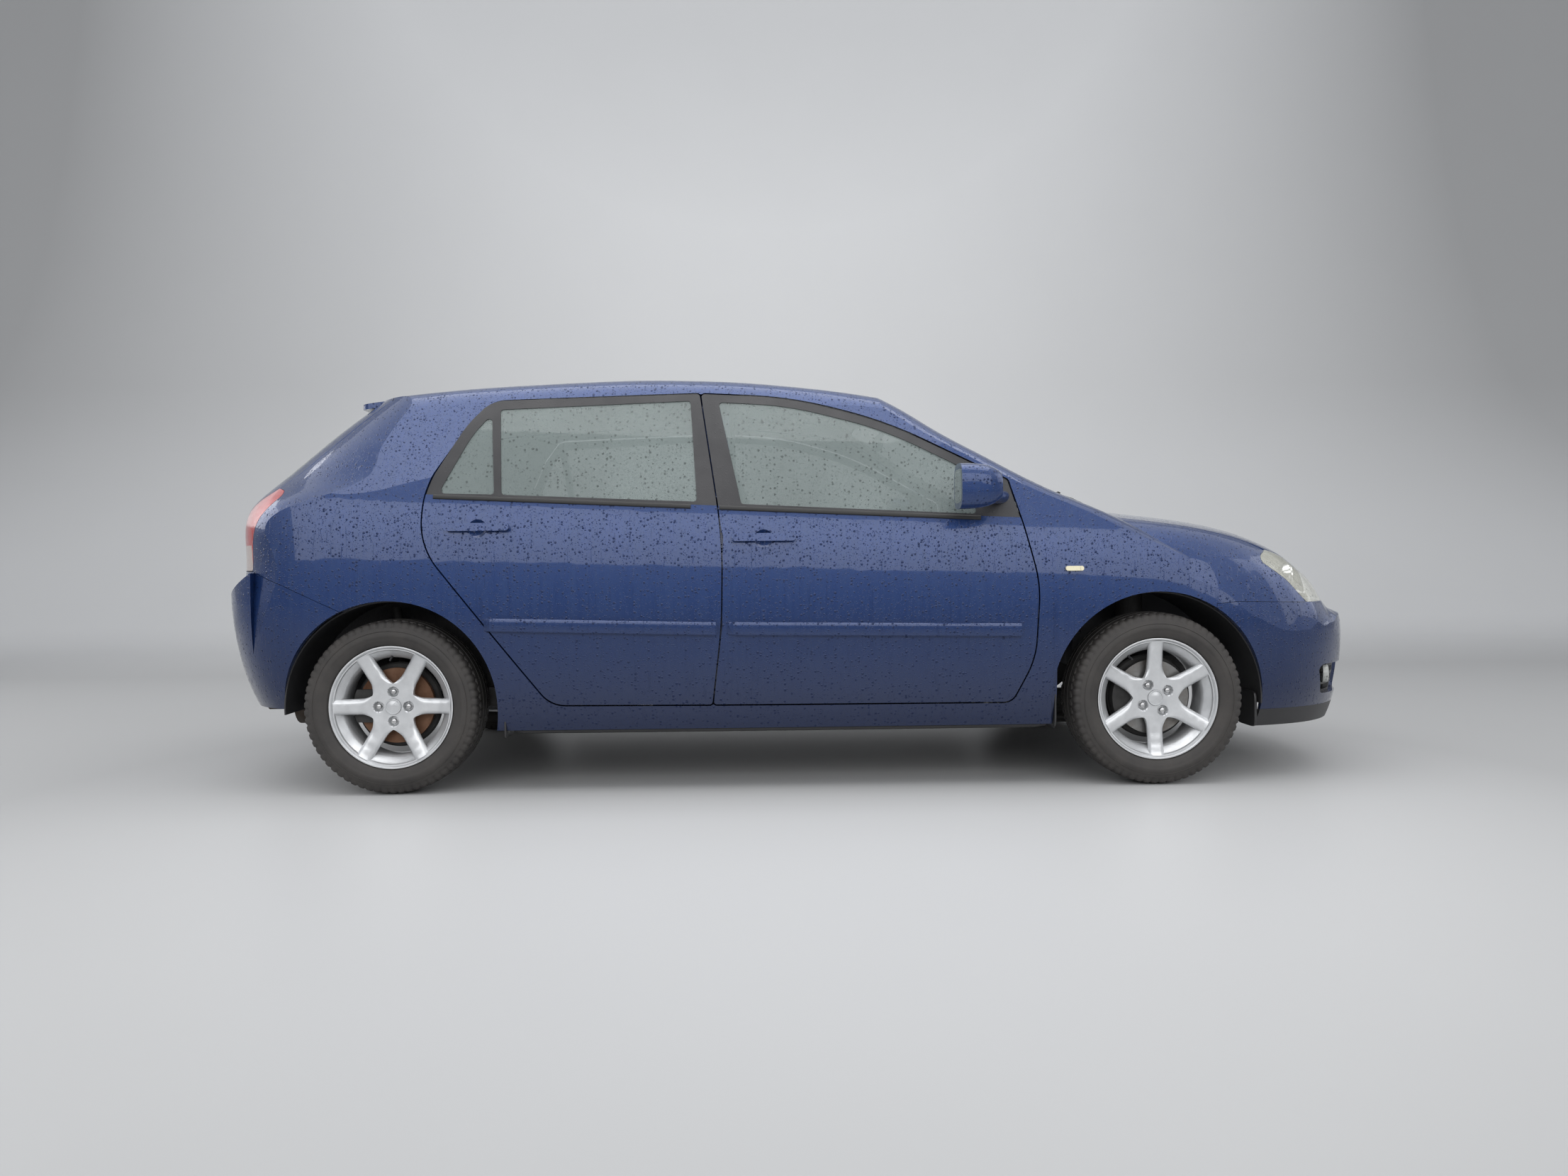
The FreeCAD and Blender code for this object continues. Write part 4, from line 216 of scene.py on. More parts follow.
def paint(name):
    """Blue metallic under clear coat in the rain: run-down water film lightened by a painted sheen,
    drops, grime and painted shade low down.
    """
    s = Shader(name)
    height = s.split()[2]
    streak = s.noise(1.0, 5.0, 0.65, s.stretched(FILM_STRETCH))
    runs = s.noise(1.0, 4.0, 0.7, s.stretched(RUN_STRETCH))
    dirt = s.ramp(s.noise(3.0, 4.0, 0.6), ((0.35, 0.1), (0.7, 0.8)))
    grime = s.times(s.ramp(height, ((0.18, 0.35), (0.36, 0.0))), dirt)
    base = s.ramp(s.split(s.voronoi(FLAKE_SCALE, "Color"))[0], FLAKES)
    # Lighter streaks: run-down water film, partly a painted sheen
    base = s.mix(s.ramp(streak, ((0.4, 0.05), (0.8, 0.34))), base, FILM_SHEEN_BLUE)
    base = s.mix(grime, base, GRIME_GREY)
    # Painted shade: the paint darkens towards the bottom of the body
    base = s.mix(s.ramp(height, ((0.3, 0.85), (0.66, 0.0))), base, SHADED_BLUE)
    wet = s.plus(drops(s, 88.0, 0.62), s.times(drops(s, 190.0, 0.55), 0.45))
    trail = s.ramp(runs, ((0.6, 0.0), (0.66, 0.35), (0.7, 0.0)))
    wet = s.plus(wet, s.times(trail, 0.28))
    base = s.mix(s.ramp(wet, ((0.02, 0.0), (0.25, 0.75))), base, DROP_BLUE)
    s.set(Base_Color=base, Metallic=0.42, Coat_Weight=1.0, Coat_Roughness=0.03, Coat_IOR=1.42,
          Specular_IOR_Level=0.3)
    s.ramped("Roughness", streak, (0.3, 0.3), (0.8, 0.44))
    s.ramped("Coat Weight", wet, (0.02, 1.0), (0.2, 0.35))
    waves = s.bump(s.noise(2.2, 1.0, 0.4), 0.004, 0.25)
    s.normal(s.bump(wet, 0.003, 0.8, waves))


def mottled(name, noise, colours, roughs, grain, depth, metallic=0.0):
    """Opaque surface whose colour and roughness change together, with a fine grain."""
    s = Shader(name)
    tone = s.noise(*noise)
    s.ramped("Base Color", tone, *colours)
    s.ramped("Roughness", tone, (0.2, roughs[0]), (0.8, min(1.0, roughs[1])))
    s.set(Metallic=metallic)
    s.normal(s.bump(s.noise(*grain), depth, 0.5), coat=False)


def plastic(name, rgb=(0.016, 0.016, 0.017), rough=0.42, grain=900.0, depth=0.00015):
    mottled(name, (6.0, 4.0, 0.6), ((0.3, rgb), (0.75, tinted(rgb, 1.7))),
            (rough * 0.85, rough * 1.25), (grain, 2.0), depth)


def metal(name, rgb, rough, rust=None, metallic=1.0):
    mottled(name, (14.0, 5.0, 0.65), ((0.35, rgb), (0.7, rust or tinted(rgb, 0.6))),
            (rough * 0.8, rough * 1.35), (120.0, 4.0), 0.0004, metallic)


def frame_black():
    """Satin black of the window frames, wet like the paint."""
    s = Shader("frame_black")
    s.ramped("Base Color", s.noise(5.0, 3.0, 0.6),
             (0.3, (0.022, 0.022, 0.024)), (0.75, (0.048, 0.047, 0.049)))
    s.set(Roughness=0.45, Coat_Weight=0.2, Coat_Roughness=0.2, Specular_IOR_Level=0.3)
    wet = s.plus(drops(s, 110.0, 0.55), s.times(drops(s, 230.0, 0.5), 0.4))
    s.normal(s.bump(wet, 0.0012, 0.5))


def clear_glass(name, tint, dark, wet=True):
    """Thin pane: a partly see-through film that carries small dark drops."""
    s = Shader(name)
    s.set(Roughness=0.03, IOR=1.5, Alpha=dark)
    film = s.ramp(s.noise(2.4, 3.0, 0.6), ((0.3, tint), (0.75, tinted(tint, 1.25))))
    if wet:
        big = drops(s, 75.0, 0.45)
        beads = s.plus(big, s.times(drops(s, 165.0, 0.4), 0.7))
        spot = s.ramp(beads, ((0.05, 0.0), (0.3, 0.8)))
        film = s.mix(spot, film, tinted(tint, 0.22))
        s.ramped("Alpha", beads, (0.05, dark), (0.3, min(1.0, dark + 0.3)))
        s.normal(s.bump(big, 0.0002, 0.15), coat=False)
    s.set(Base_Color=film)


def alloy():
    s = Shader("alloy")
    s.ramped("Base Color", s.noise(18.0, 4.0, 0.6),
             (0.3, (0.52, 0.53, 0.54)), (0.8, (0.66, 0.67, 0.68)))
    s.set(Metallic=0.55, Coat_Weight=0.6, Coat_Roughness=0.12)
    s.ramped("Roughness", s.noise(60.0, 3.0), (0.3, 0.28), (0.8, 0.42))
    s.normal(s.bump(drops(s, 120.0, 0.4), 0.0008, 0.4))


FLUTES_PER_METRE = 900.0
REVERSING_TOP = 0.845
REVERSING_REACH = 0.725


def red_lens():
    """Red cover with upright flutes, a paler reversing lens low down and rain on it."""
    s = Shader("red_lamp")
    _, y, z = s.split()
    red = s.ramp(s.noise(4.0, 2.0), ((0.3, (0.4, 0.008, 0.01)), (0.8, (0.55, 0.018, 0.018))))
    flutes = s.math("SINE", s.times(y, FLUTES_PER_METRE))
    red = s.mix(s.ramp(flutes, ((0.0, 0.0), (1.0, 0.35))), red, (0.26, 0.003, 0.004))
    low = s.times(s.math("LESS_THAN", z, REVERSING_TOP),
                  s.math("LESS_THAN", s.math("ABSOLUTE", y), REVERSING_REACH))
    s.set(Base_Color=s.mix(low, red, (0.55, 0.44, 0.4)),
          Roughness=0.14, Coat_Weight=1.0, Coat_Roughness=0.03)
    s.normal(s.bump(drops(s, 95.0, 0.5), 0.0012, 0.5, s.bump(flutes, 0.0006, 0.5)))


def fabric(name, rgb, scale=900.0):
    s = Shader(name)
    x, y, z = s.split()
    over = s.math("SINE", s.times(s.plus(x, z), scale * 2))
    under = s.math("SINE", s.times(s.plus(y, z), scale * 2))
    wear = s.ramp(s.noise(5.0, 4.0), ((0.3, 0.0), (0.8, 0.6)))
    s.set(Base_Color=s.mix(wear, rgb, tinted(rgb, 1.6)),
          Roughness=0.9, Sheen_Weight=0.4, Sheen_Roughness=0.5)
    s.normal(s.bump(s.times(over, under), 0.0006, 0.5), coat=False)


paint("body_paint")
paint("painted_plastic")
frame_black()
plastic("black_plastic")
plastic("rubber_seal", (0.01, 0.01, 0.01), 0.55)
clear_glass("window_glass", (0.215, 0.255, 0.248), 0.52)
clear_glass("clear_lamp", (0.66, 0.66, 0.58), 0.34)
red_lens()
alloy()
mottled("tyre", (9.0, 5.0, 0.65), ((0.3, (0.022, 0.02, 0.019)), (0.75, (0.052, 0.047, 0.043))),
        (0.55, 0.8), (700.0, 2.0), 0.0003)
metal("disc_iron", (0.25, 0.25, 0.245), 0.42, (0.15, 0.135, 0.12))
metal("rusty_iron", (0.16, 0.085, 0.05), 0.6, (0.1, 0.045, 0.022), 0.6)
metal("chassis_steel", (0.035, 0.034, 0.033), 0.6, metallic=0.3)
plastic("underbody_paint", (0.02, 0.021, 0.024), 0.6)
plastic("cabin_plastic", (0.055, 0.055, 0.058), 0.6, 1500.0, 0.0002)
fabric("seat_fabric", (0.06, 0.062, 0.07))
fabric("seat_insert", (0.095, 0.098, 0.11), 620.0)
metal("plated_steel", (0.62, 0.62, 0.62), 0.22)
metal("reflector", (0.8, 0.8, 0.78), 0.12)
metal("mirror", (0.72, 0.75, 0.77), 0.03)
clear_glass("amber", (0.85, 0.35, 0.05), 0.85, wet=False)
clear_glass("ivory", (0.72, 0.66, 0.46), 0.92)
clear_glass("lamp_cover", (0.45, 0.46, 0.44), 0.75)
plastic("plate_white", (0.42, 0.42, 0.41), 0.35, 500.0, 0.0001)
fabric("headliner", (0.32, 0.31, 0.29), 700.0)
fabric("carpet", (0.03, 0.03, 0.032), 420.0)
metal("engine_iron", (0.1, 0.1, 0.1), 0.6, metallic=0.6)
metal("exhaust_steel", (0.085, 0.075, 0.065), 0.6, (0.055, 0.035, 0.022), 0.6)
plastic("tank_plastic", (0.03, 0.03, 0.03), 0.5)


def dress(obj, name):
    obj.data.materials.clear()
    obj.data.materials.append(MATERIALS[name])


for entry in frame["record"]["subparts"]:
    if entry["node"] in nodes:
        dress(nodes[entry["node"]], entry["material_slot"])

# Faces of the solids with a look of their own. Window frames are black above the belt line

SIDES = (("right", -1), ("left", 1))
BELT_HEIGHT = 0.951
BELT_RAKE = -0.046
EDGE_SLACK = 0.0005
TRIM_SPLIT = 0.98
TAILGATE_TRIM_TOP = 1.06
CARPET_RISE = 0.42
HEADLAMP_TAIL = 1.1
INWARD = 0.25
UPWARD = 0.3
DOWNWARD = -0.2


def belt_at(x):
    return BELT_HEIGHT + BELT_RAKE * x


def repaint(node, material, chosen):
    """Give the faces of a solid for which chosen says yes another material."""
    data = nodes[node].data
    data.materials.append(MATERIALS[material])
    for face in data.polygons:
        if chosen(face.center, face.normal):
            face.material_index = len(data.materials) - 1


def inward(at, normal):
    return normal.y * at.y < -INWARD * abs(at.y)


for side, _ in SIDES:
    for end in ("front", "rear"):
        door = "%s_%s_door" % (end, side)
        repaint(door, "frame_black", lambda at, normal: at.z > belt_at(at.x) + EDGE_SLACK)
        repaint(door, "cabin_plastic",
                lambda at, normal: inward(at, normal) and at.z < belt_at(at.x))
    repaint("side_frame_" + side, "headliner",
            lambda at, normal: inward(at, normal) and at.z > TRIM_SPLIT)
    repaint("side_frame_" + side, "cabin_plastic",
            lambda at, normal: inward(at, normal) and at.z < TRIM_SPLIT)
    dress(nodes["rear_%s_brake_disc" % side], "rusty_iron")
repaint("roof_panel", "headliner", lambda at, normal: normal.z < DOWNWARD)
repaint("tailgate_panel", "cabin_plastic",
        lambda at, normal: normal.x > INWARD and at.z < TAILGATE_TRIM_TOP)
repaint("floor_pan", "carpet", lambda at, normal: normal.z > UPWARD or at.z > CARPET_RISE)
repaint("front_lamps", "ivory", lambda at, normal: at.x < HEADLAMP_TAIL)

# Shapes: a part is a pair of verts and faces

X_AXIS, Y_AXIS, Z_AXIS = Vector((1, 0, 0)), Vector((0, 1, 0)), Vector((0, 0, 1))
SAME_PLACE = 1e-6


def merged(parts):
    verts = []
    faces = []
    for part_verts, part_faces in parts:
        start = len(verts)
        verts += list(part_verts)
        faces += [tuple(start + k for k in face) for face in part_faces]
    return verts, faces


def mesh_object(name, verts, faces, material, sharp):
    data = bpy.data.meshes.new(name)
    data.from_pydata([tuple(v) for v in verts], [], faces)
    data.validate()
    mesh = bmesh.new()
    mesh.from_mesh(data)
    bmesh.ops.remove_doubles(mesh, verts=mesh.verts, dist=SAME_PLACE)
    bmesh.ops.recalc_face_normals(mesh, faces=mesh.faces)
    mesh.to_mesh(data)
    mesh.free()
    obj = bpy.data.objects.new(name, data)
    scene.collection.objects.link(obj)
    data.materials.append(MATERIALS[material])
    for face in data.polygons:
        face.use_smooth = True
    data.set_sharp_from_angle(angle=math.radians(sharp))
    return obj


def finish_piece(obj, body, replaced=()):
    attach(obj, body)
    if replaced:
        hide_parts(*replaced)


def add_piece(name, parts, material, body="car_body", replaced=(), sharp=40):
    """One visible piece of several closed parts; its slot is its material."""
    obj = mesh_object(name, *merged(parts), material, sharp)
    finish_piece(obj, body, replaced)


def grid_faces(rows, columns, close_rows=False, close_columns=False, start=0):
    faces = []
    for i in range(rows if close_rows else rows - 1):
        for j in range(columns if close_columns else columns - 1):
            a = i * columns + j
            b = i * columns + (j + 1) % columns
            c = ((i + 1) % rows) * columns + (j + 1) % columns
            d = ((i + 1) % rows) * columns + j
            faces.append((start + a, start + b, start + c, start + d))
    return faces


def bar_faces(count, sides):
    """Faces of a bar with closed ends, made of count sections."""
    return (grid_faces(count, sides, close_columns=True)
            + [tuple(range(sides)), tuple((count - 1) * sides + k for k in range(sides))])


def grid_edge(rows, columns):
    """Places round the edge of a grid, in order."""
    edge = list(range(columns)) + [i * columns + columns - 1 for i in range(1, rows)]
    edge += [(rows - 1) * columns + j for j in range(columns - 2, -1, -1)]
    return edge + [i * columns for i in range(rows - 2, 0, -1)]


def slab(front, rows, columns, thickness):
    """Closed sheet behind a grid of points."""
    count = rows * columns
    faces = grid_faces(rows, columns)
    faces += [tuple(k + count for k in face[::-1]) for face in faces]
    edge = grid_edge(rows, columns)
    faces += [(a, b, b + count, a + count) for a, b in zip(edge, edge[1:] + edge[:1])]
    return front + [p + thickness for p in front], faces


def direction_at(points, i):
    return (points[min(i + 1, len(points) - 1)] - points[max(i - 1, 0)]).normalized()


def sweep(points, outs, section):
    """Closed bar along points; each section point is an offset outwards and upwards."""
    verts = []
    for i, point in enumerate(points):
        along = direction_at(points, i)
        out = (outs[i] - along * outs[i].dot(along)).normalized()
        up = along.cross(out)
        if up.z < 0:
            up = -up
        verts += [point + out * a + up * b for a, b in section]
    return verts, bar_faces(len(points), len(section))


def ring(centre, first, second, radius, sides):
    angles = [math.tau * k / sides for k in range(sides)]
    return [centre + first * (radius * math.cos(a)) + second * (radius * math.sin(a))
            for a in angles]


def tube(points, radius, sides=12, ends=True):
    """Round bar along points, of one radius or of a radius for each point."""
    verts = []
    for i, point in enumerate(points):
        along = direction_at(points, i)
        first = along.cross(Z_AXIS if abs(along.z) < 0.9 else X_AXIS).normalized()
        size = radius[i] if isinstance(radius, list) else radius
        verts += ring(point, first, along.cross(first), size, sides)
    if ends:
        return verts, bar_faces(len(points), sides)
    return verts, grid_faces(len(points), sides, close_columns=True)


def rounded_box(centre, half, axes=(X_AXIS, Y_AXIS, Z_AXIS), power=5.0, cuts=6):
    """Box with softly rounded edges."""
    mesh = bmesh.new()
    bmesh.ops.create_cube(mesh, size=2.0)
    bmesh.ops.subdivide_edges(mesh, edges=mesh.edges, cuts=cuts, use_grid_fill=True)
    verts = []
    for vert in mesh.verts:
        p = vert.co
        q = p / (abs(p.x) ** power + abs(p.y) ** power + abs(p.z) ** power) ** (1 / power)
        verts.append(Vector(centre) + sum((axes[k] * (q[k] * half[k]) for k in range(3)), Vector()))
    mesh.verts.index_update()
    faces = [tuple(v.index for v in face.verts) for face in mesh.faces]
    mesh.free()
    return verts, faces


def tree_of(*names):
    """The solids of some nodes, for casting rays at."""
    meshes = [nodes[name].data for name in names]
    return BVHTree.FromPolygons(*merged([
        ([v.co.copy() for v in mesh.vertices], [face.vertices for face in mesh.polygons])
        for mesh in meshes]))


def cast(tree, origin, direction):
    """First place that a ray meets, and the direction there that faces the ray."""
    hit, normal, _, _ = tree.ray_cast(Vector(origin), Vector(direction).normalized())
    if hit is not None and normal.dot(Vector(direction)) > 0:
        normal = -normal
    return hit, normal


def run_over(tree, start, end, direction, count):
    """Points along a straight run over a surface, with their outward directions."""
    points = []
    outs = []
    for k in range(count):
        at = Vector(start).lerp(Vector(end), k / (count - 1))
        hit, normal = cast(tree, at, direction)
        if hit is not None:
            points.append(hit)
            outs.append(normal)
    return points, outs


# Wheels

TYRE_RADIUS = 0.295
# Place along the car and half track of each axle
AXLES = {"front": (1.195, 0.739), "rear": (-1.405, 0.73)}
BOLTS = 4
BOLT_CIRCLE = 0.05
SPOKES = 6
PITCHES = 66
STEPS_PER_PITCH = 6
WHEEL_TURNS = {"front": math.radians(30), "rear": 0.0}


def spun(profile, segments, shape=None):
    """Closed profile of outward reach and radius, turned about the axle."""
    verts = []
    for i in range(segments):
        angle = math.tau * i / segments
        for k, (reach, radius) in enumerate(profile):
            if shape:
                reach, radius = shape(i, k, reach, radius)
            verts.append((radius * math.cos(angle), reach, radius * math.sin(angle)))
    return verts, grid_faces(segments, len(profile), close_rows=True, close_columns=True)


def eased(t):
    t = min(1.0, max(0.0, t))
    return t * t * (3 - 2 * t)


SHOULDER_CUT = 0.0034
SHOULDER_EDGE_CUT = 0.0012
SHOULDER_LEAN = 4.5
SIPE_CUT = 0.004
SIPE_INNER, SIPE_OUTER = 0.026, 0.052


def tyre_parts():
    """Tyre with ribbed sidewalls, four grooves round the tread and cut shoulders."""
    wall = [
        (0.071, 0.194), (0.0745, 0.2005), (0.0775, 0.2065), (0.0825, 0.2105), (0.0865, 0.2112),
        (0.0885, 0.2135), (0.0905, 0.2175), (0.0935, 0.2235), (0.0955, 0.2305), (0.0968, 0.2375),
        (0.0973, 0.2385), (0.0975, 0.2435), (0.097, 0.25), (0.095, 0.256), (0.0962, 0.2572),
        (0.0946, 0.2584), (0.0935, 0.2625), (0.091, 0.269), (0.0905, 0.27),
    ]
    shoulder = [(0.0895, 0.272), (0.0875, 0.279), (0.0845, 0.2855), (0.079, 0.2898),
                (0.07, 0.2918)]
    tread = [
        (0.06, 0.2928), (0.059, 0.2925), (0.058, 0.285), (0.052, 0.285), (0.051, 0.2932),
        (0.038, 0.2942), (0.026, 0.2946), (0.025, 0.2945), (0.024, 0.2868), (0.017, 0.2868),
        (0.016, 0.2947), (0.008, 0.29495), (0, 0.29495),
    ]
    right = wall + shoulder + tread
    profile = right + [(-reach, radius) for reach, radius in right[-2::-1]]
    first = len(wall)
    last = first + len(shoulder) + 1
    total = len(profile)

    def cut(i, k, reach, radius):
        here = min(k, total - 1 - k)
        if first <= here < last:
            if i % STEPS_PER_PITCH < 2:
                deep = SHOULDER_CUT if here > first else SHOULDER_EDGE_CUT
                radius -= deep
                reach *= 1 - SHOULDER_LEAN * deep
        elif (SIPE_INNER < abs(reach) < SIPE_OUTER
              and (i + STEPS_PER_PITCH // 2) % STEPS_PER_PITCH == 0):
            radius -= SIPE_CUT
        return reach, radius

    return spun(profile, PITCHES * STEPS_PER_PITCH, cut)


# Reach of the wheel's face at some radii, from its middle to its lip
FACE_REACH = ((0.0, 0.0565), (0.028, 0.0565), (0.045, 0.0575), (0.075, 0.0585), (0.11, 0.061),
              (0.15, 0.066), (0.18, 0.0715), (0.2, 0.0765))


def face_reach(radius):
    for (r0, a0), (r1, a1) in zip(FACE_REACH, FACE_REACH[1:]):
        if radius <= r1:
            return a0 + (a1 - a0) * eased((radius - r0) / (r1 - r0))
    return FACE_REACH[-1][1]


WINDOW_START = 0.079
WINDOW_FULL = 0.106
SPOKE_HALF = 0.0275
SPOKE_TAPER = 0.028
SPOKE_TAPER_START = 0.1
SPOKE_FLARE_START = 0.165
SPOKE_THICK = 0.019
EDGE_DROP = 0.009
CROWN_DROP = 0.003
DROP_RUN = 0.03
SEAT_RADIUS = 0.0178
SEAT_SLOPE = 0.004
SEAT_DEPTH = 0.016


def spoke_angle(radius):
    """Half the angle that a spoke takes at a radius."""
    half = math.pi / SPOKES
    if radius <= WINDOW_START:
        return half
    width = SPOKE_HALF - SPOKE_TAPER * max(0.0, radius - SPOKE_TAPER_START)
    if radius > SPOKE_FLARE_START:
        width += 0.5 * (radius - SPOKE_FLARE_START) ** 1.5
    plain = math.asin(min(1.0, width / radius))
    if radius < WINDOW_FULL:
        t = (WINDOW_FULL - radius) / (WINDOW_FULL - WINDOW_START)
        return half - (half - plain) * math.sqrt(max(0.0, 1 - t * t))
    return plain


def bolt_places():
    for bolt in range(BOLTS):
        angle = math.tau / BOLTS * bolt
        yield BOLT_CIRCLE * math.cos(angle), BOLT_CIRCLE * math.sin(angle)


def wheel_face_parts():
    """Six spokes and the hub, with sunk seats for the lug nuts."""
    radii = [0.0275 + 0.0023 * k for k in range(20)]
    radii += [0.0755, 0.0785, 0.0797, 0.0815, 0.084, 0.088, 0.093, 0.099, WINDOW_FULL]
    radii += [0.114 + 0.0083 * k for k in range(11)]
    shares = [-1, -.985, -.95, -.88, -.78, -.66, -.54, -.42, -.3, -.2, -.1, 0]
    shares += [-s for s in shares[-2::-1]]
    rows = len(radii)
    columns = len(shares)
    count = rows * columns
    verts = []
    faces = []
    for spoke in range(SPOKES):
        start = len(verts)
        for layer in ("front", "back"):
            for radius in radii:
                for share in shares:
                    angle = math.tau * spoke / SPOKES + share * spoke_angle(radius)
                    x = radius * math.cos(angle)
                    z = radius * math.sin(angle)
                    reach = face_reach(radius)
                    if layer == "back":
                        reach -= SPOKE_THICK
                    else:
                        grow = min(1.0, max(0.0, (radius - WINDOW_START) / DROP_RUN))
                        reach -= grow * (EDGE_DROP * abs(share) ** 6 + CROWN_DROP * share * share)
                        for bolt_x, bolt_z in bolt_places():
                            away = math.hypot(x - bolt_x, z - bolt_z)
                            reach -= SEAT_DEPTH * eased((SEAT_RADIUS - away) / SEAT_SLOPE)
                    verts.append((x, reach, z))
        top = grid_faces(rows, columns, start=start)
        faces += top + [tuple(k + count for k in face[::-1]) for face in top]
        for i in range(rows - 1):
            if radii[i + 1] > WINDOW_START:
                for j in (0, columns - 1):
                    a = start + i * columns + j
                    faces.append((a, a + columns, a + columns + count, a + count))
    return verts, faces


BARREL = [
    (0.083, 0.207), (0.0836, 0.205), (0.083, 0.2025), (0.08, 0.2), (0.076, 0.1985),
    (0.07, 0.1945), (0.06, 0.185), (0.048, 0.174), (0.04, 0.168), (0.03, 0.1655),
    (-0.03, 0.1665), (-0.062, 0.174), (-0.074, 0.19), (-0.083, 0.199), (-0.083, 0.207),
    (-0.075, 0.207), (-0.074, 0.194), (-0.056, 0.188), (-0.04, 0.176), (0.04, 0.176),
    (0.056, 0.188), (0.074, 0.194), (0.075, 0.207),
]
CAP = [(0.05, 0.0), (0.05, 0.0265), (0.059, 0.0268), (0.0604, 0.0258), (0.0606, 0.0238),
       (0.0578, 0.0226), (0.058, 0.019), (0.06, 0.012), (0.0608, 0.0)]
DUST_SHIELD = [(-0.012, 0.03), (-0.012, 0.14), (-0.018, 0.146), (-0.02, 0.146), (-0.014, 0.03)]
NUT = ((0.04, 0.0088), (0.0535, 0.0088), (0.0555, 0.0078), (0.0567, 0.0052), (0.057, 0.0001))
NUT_CORNERS_END = 0.054
NUT_SIDES = 12
VALVE_ANGLE = math.radians(92)


def lug_parts():
    parts = []
    for x, z in bolt_places():
        verts = []
        for reach, radius in NUT:
            for k in range(NUT_SIDES):
                angle = math.tau * k / NUT_SIDES
                size = radius * (1 if k % 2 or reach > NUT_CORNERS_END else 1.1)
                verts.append((x + size * math.cos(angle), reach, z + size * math.sin(angle)))
        parts.append((verts, grid_faces(len(NUT), NUT_SIDES, close_columns=True)))
    return parts


def valve_part():
    root, tip = (Vector((radius * math.cos(VALVE_ANGLE), reach, radius * math.sin(VALVE_ANGLE)))
                 for radius, reach in ((0.17, 0.04), (0.158, 0.066)))
    return tube([root, root.lerp(tip, 0.5), root.lerp(tip, 0.55), tip],
                [0.0042, 0.004, 0.0032, 0.0032], 10)


def make_wheel(end, x, half_track, side, sign, tyre, rim):
    """Pieces of one wheel, turned about its axle as in the photograph."""
    c = math.cos(WHEEL_TURNS[end])
    s = math.sin(WHEEL_TURNS[end])
    key = "%s_%s_" % (end, side)
    wheel = key + "wheel"
    holder = "car_body" if end == "rear" else key + "knuckle"
    for name, parts, material, body, slot, replaced, sharp in (
            ("road_tyre", [tyre], "tyre", wheel, None, [key + "tyre"], 50),
            ("spoked_rim", rim, "alloy", wheel, None, [key + "rim"], 35),
            ("lug_nuts", lug_parts(), "plated_steel", wheel, "disc_iron", (), 35),
            ("valve", [valve_part()], "black_plastic", wheel, None, (), 35),
            ("dust_shield", [spun(DUST_SHIELD, 64)], "chassis_steel", holder, None, (), 35)):
        placed = [([(x + c * a - s * b, sign * (half_track + reach), TYRE_RADIUS + s * a + c * b)
                    for a, reach, b in verts], faces) for verts, faces in parts]
        add_piece(key + name, placed, material, body, replaced, sharp)


def make_wheels():
    tyre = tyre_parts()
    rim = [wheel_face_parts(), spun(BARREL, 144), spun(CAP, 64)]
    for end, (x, half_track) in AXLES.items():
        for side, sign in SIDES:
            make_wheel(end, x, half_track, side, sign, tyre, rim)


make_wheels()

# Trim along the flanks

MOULDING_DROP = 0.007
STRIP_FOOT = 0.004
BESIDE_CAR = 1.3


def strip_section(depth, tall):
    """Half-round section of a moulding, from its foot round its face."""
    section = [(-STRIP_FOOT, -tall), (-STRIP_FOOT, tall)]
    for k in range(9):
        angle = math.pi / 2 - math.pi * k / 8
        out = depth * math.cos(angle) ** 0.55 if k not in (0, 8) else 0.001
        section.append((out, tall * math.sin(angle)))
    return section


def belt_run(x0, x1):
    return x0, belt_at(x0) - MOULDING_DROP, x1, belt_at(x1) - MOULDING_DROP


RUB_RUNS = {"front": (-0.268, 0.552, 0.716, 0.538), "rear": (-1.078, 0.572, -0.31, 0.552)}
BELT_RUNS = {"front": belt_run(-0.296, 0.59), "rear": belt_run(-1.252, -0.392)}
STRIPS = (
    ("_rub_strip", RUB_RUNS, 40, strip_section(0.0045, 0.0215), "painted_plastic", None),
    ("_belt_moulding", BELT_RUNS, 32, strip_section(0.006, 0.008), "rubber_seal", "black_plastic"),
)


def make_strips():
    for side, sign in SIDES:
        tree = tree_of(*[n for n in nodes if side in n and ("door" in n or "side_frame" in n)
                         and "glass" not in n], "front_wings", "front_bumper", "rear_bumper")
        for name, runs, count, section, material, slot in STRIPS:
            for end, (x0, z0, x1, z1) in runs.items():
                body = "%s_%s_door" % (end, side)
                line = run_over(tree, (x0, sign * BESIDE_CAR, z0), (x1, sign * BESIDE_CAR, z1),
                                (0, -sign, 0), count)
                add_piece(body + name, [sweep(*line, section)], material, body, sharp=30)


make_strips()

# Seats. Their profiles and widths are in millimetres, as the solids' are

PER_METRE = 1000
FACE = 0.99
SEAM_WIDTH = 0.016
SEAM_ACROSS_DEPTH = 0.007
SEAM_ALONG_DEPTH = 0.006
BOLSTER_START = 0.55
BOLSTER_SIDE = 0.6
PIPING_LIFT = 0.003
PIPING_RADIUS = 0.0022


def rounded_point(p, half, radius):
    inner = [max(-(h - radius), min(h - radius, c * h)) for c, h in zip(p, half)]
    reach = Vector([c * h - i for c, h, i in zip(p, half, inner)])
    if reach.length > SAME_PLACE:
        reach = reach.normalized() * radius
    return Vector(inner) + reach


def spread(count, seams):
    """Places from -1 to 1 with extra ones beside each seam."""
    places = {round(-1 + 2 * k / count, 4) for k in range(count + 1)}
    for seam in seams:
        places = {p for p in places if abs(p - seam) > 0.035}
        places |= {round(seam + d, 4) for d in (-0.03, -0.012, 0, 0.012, 0.03)}
    return sorted(places)


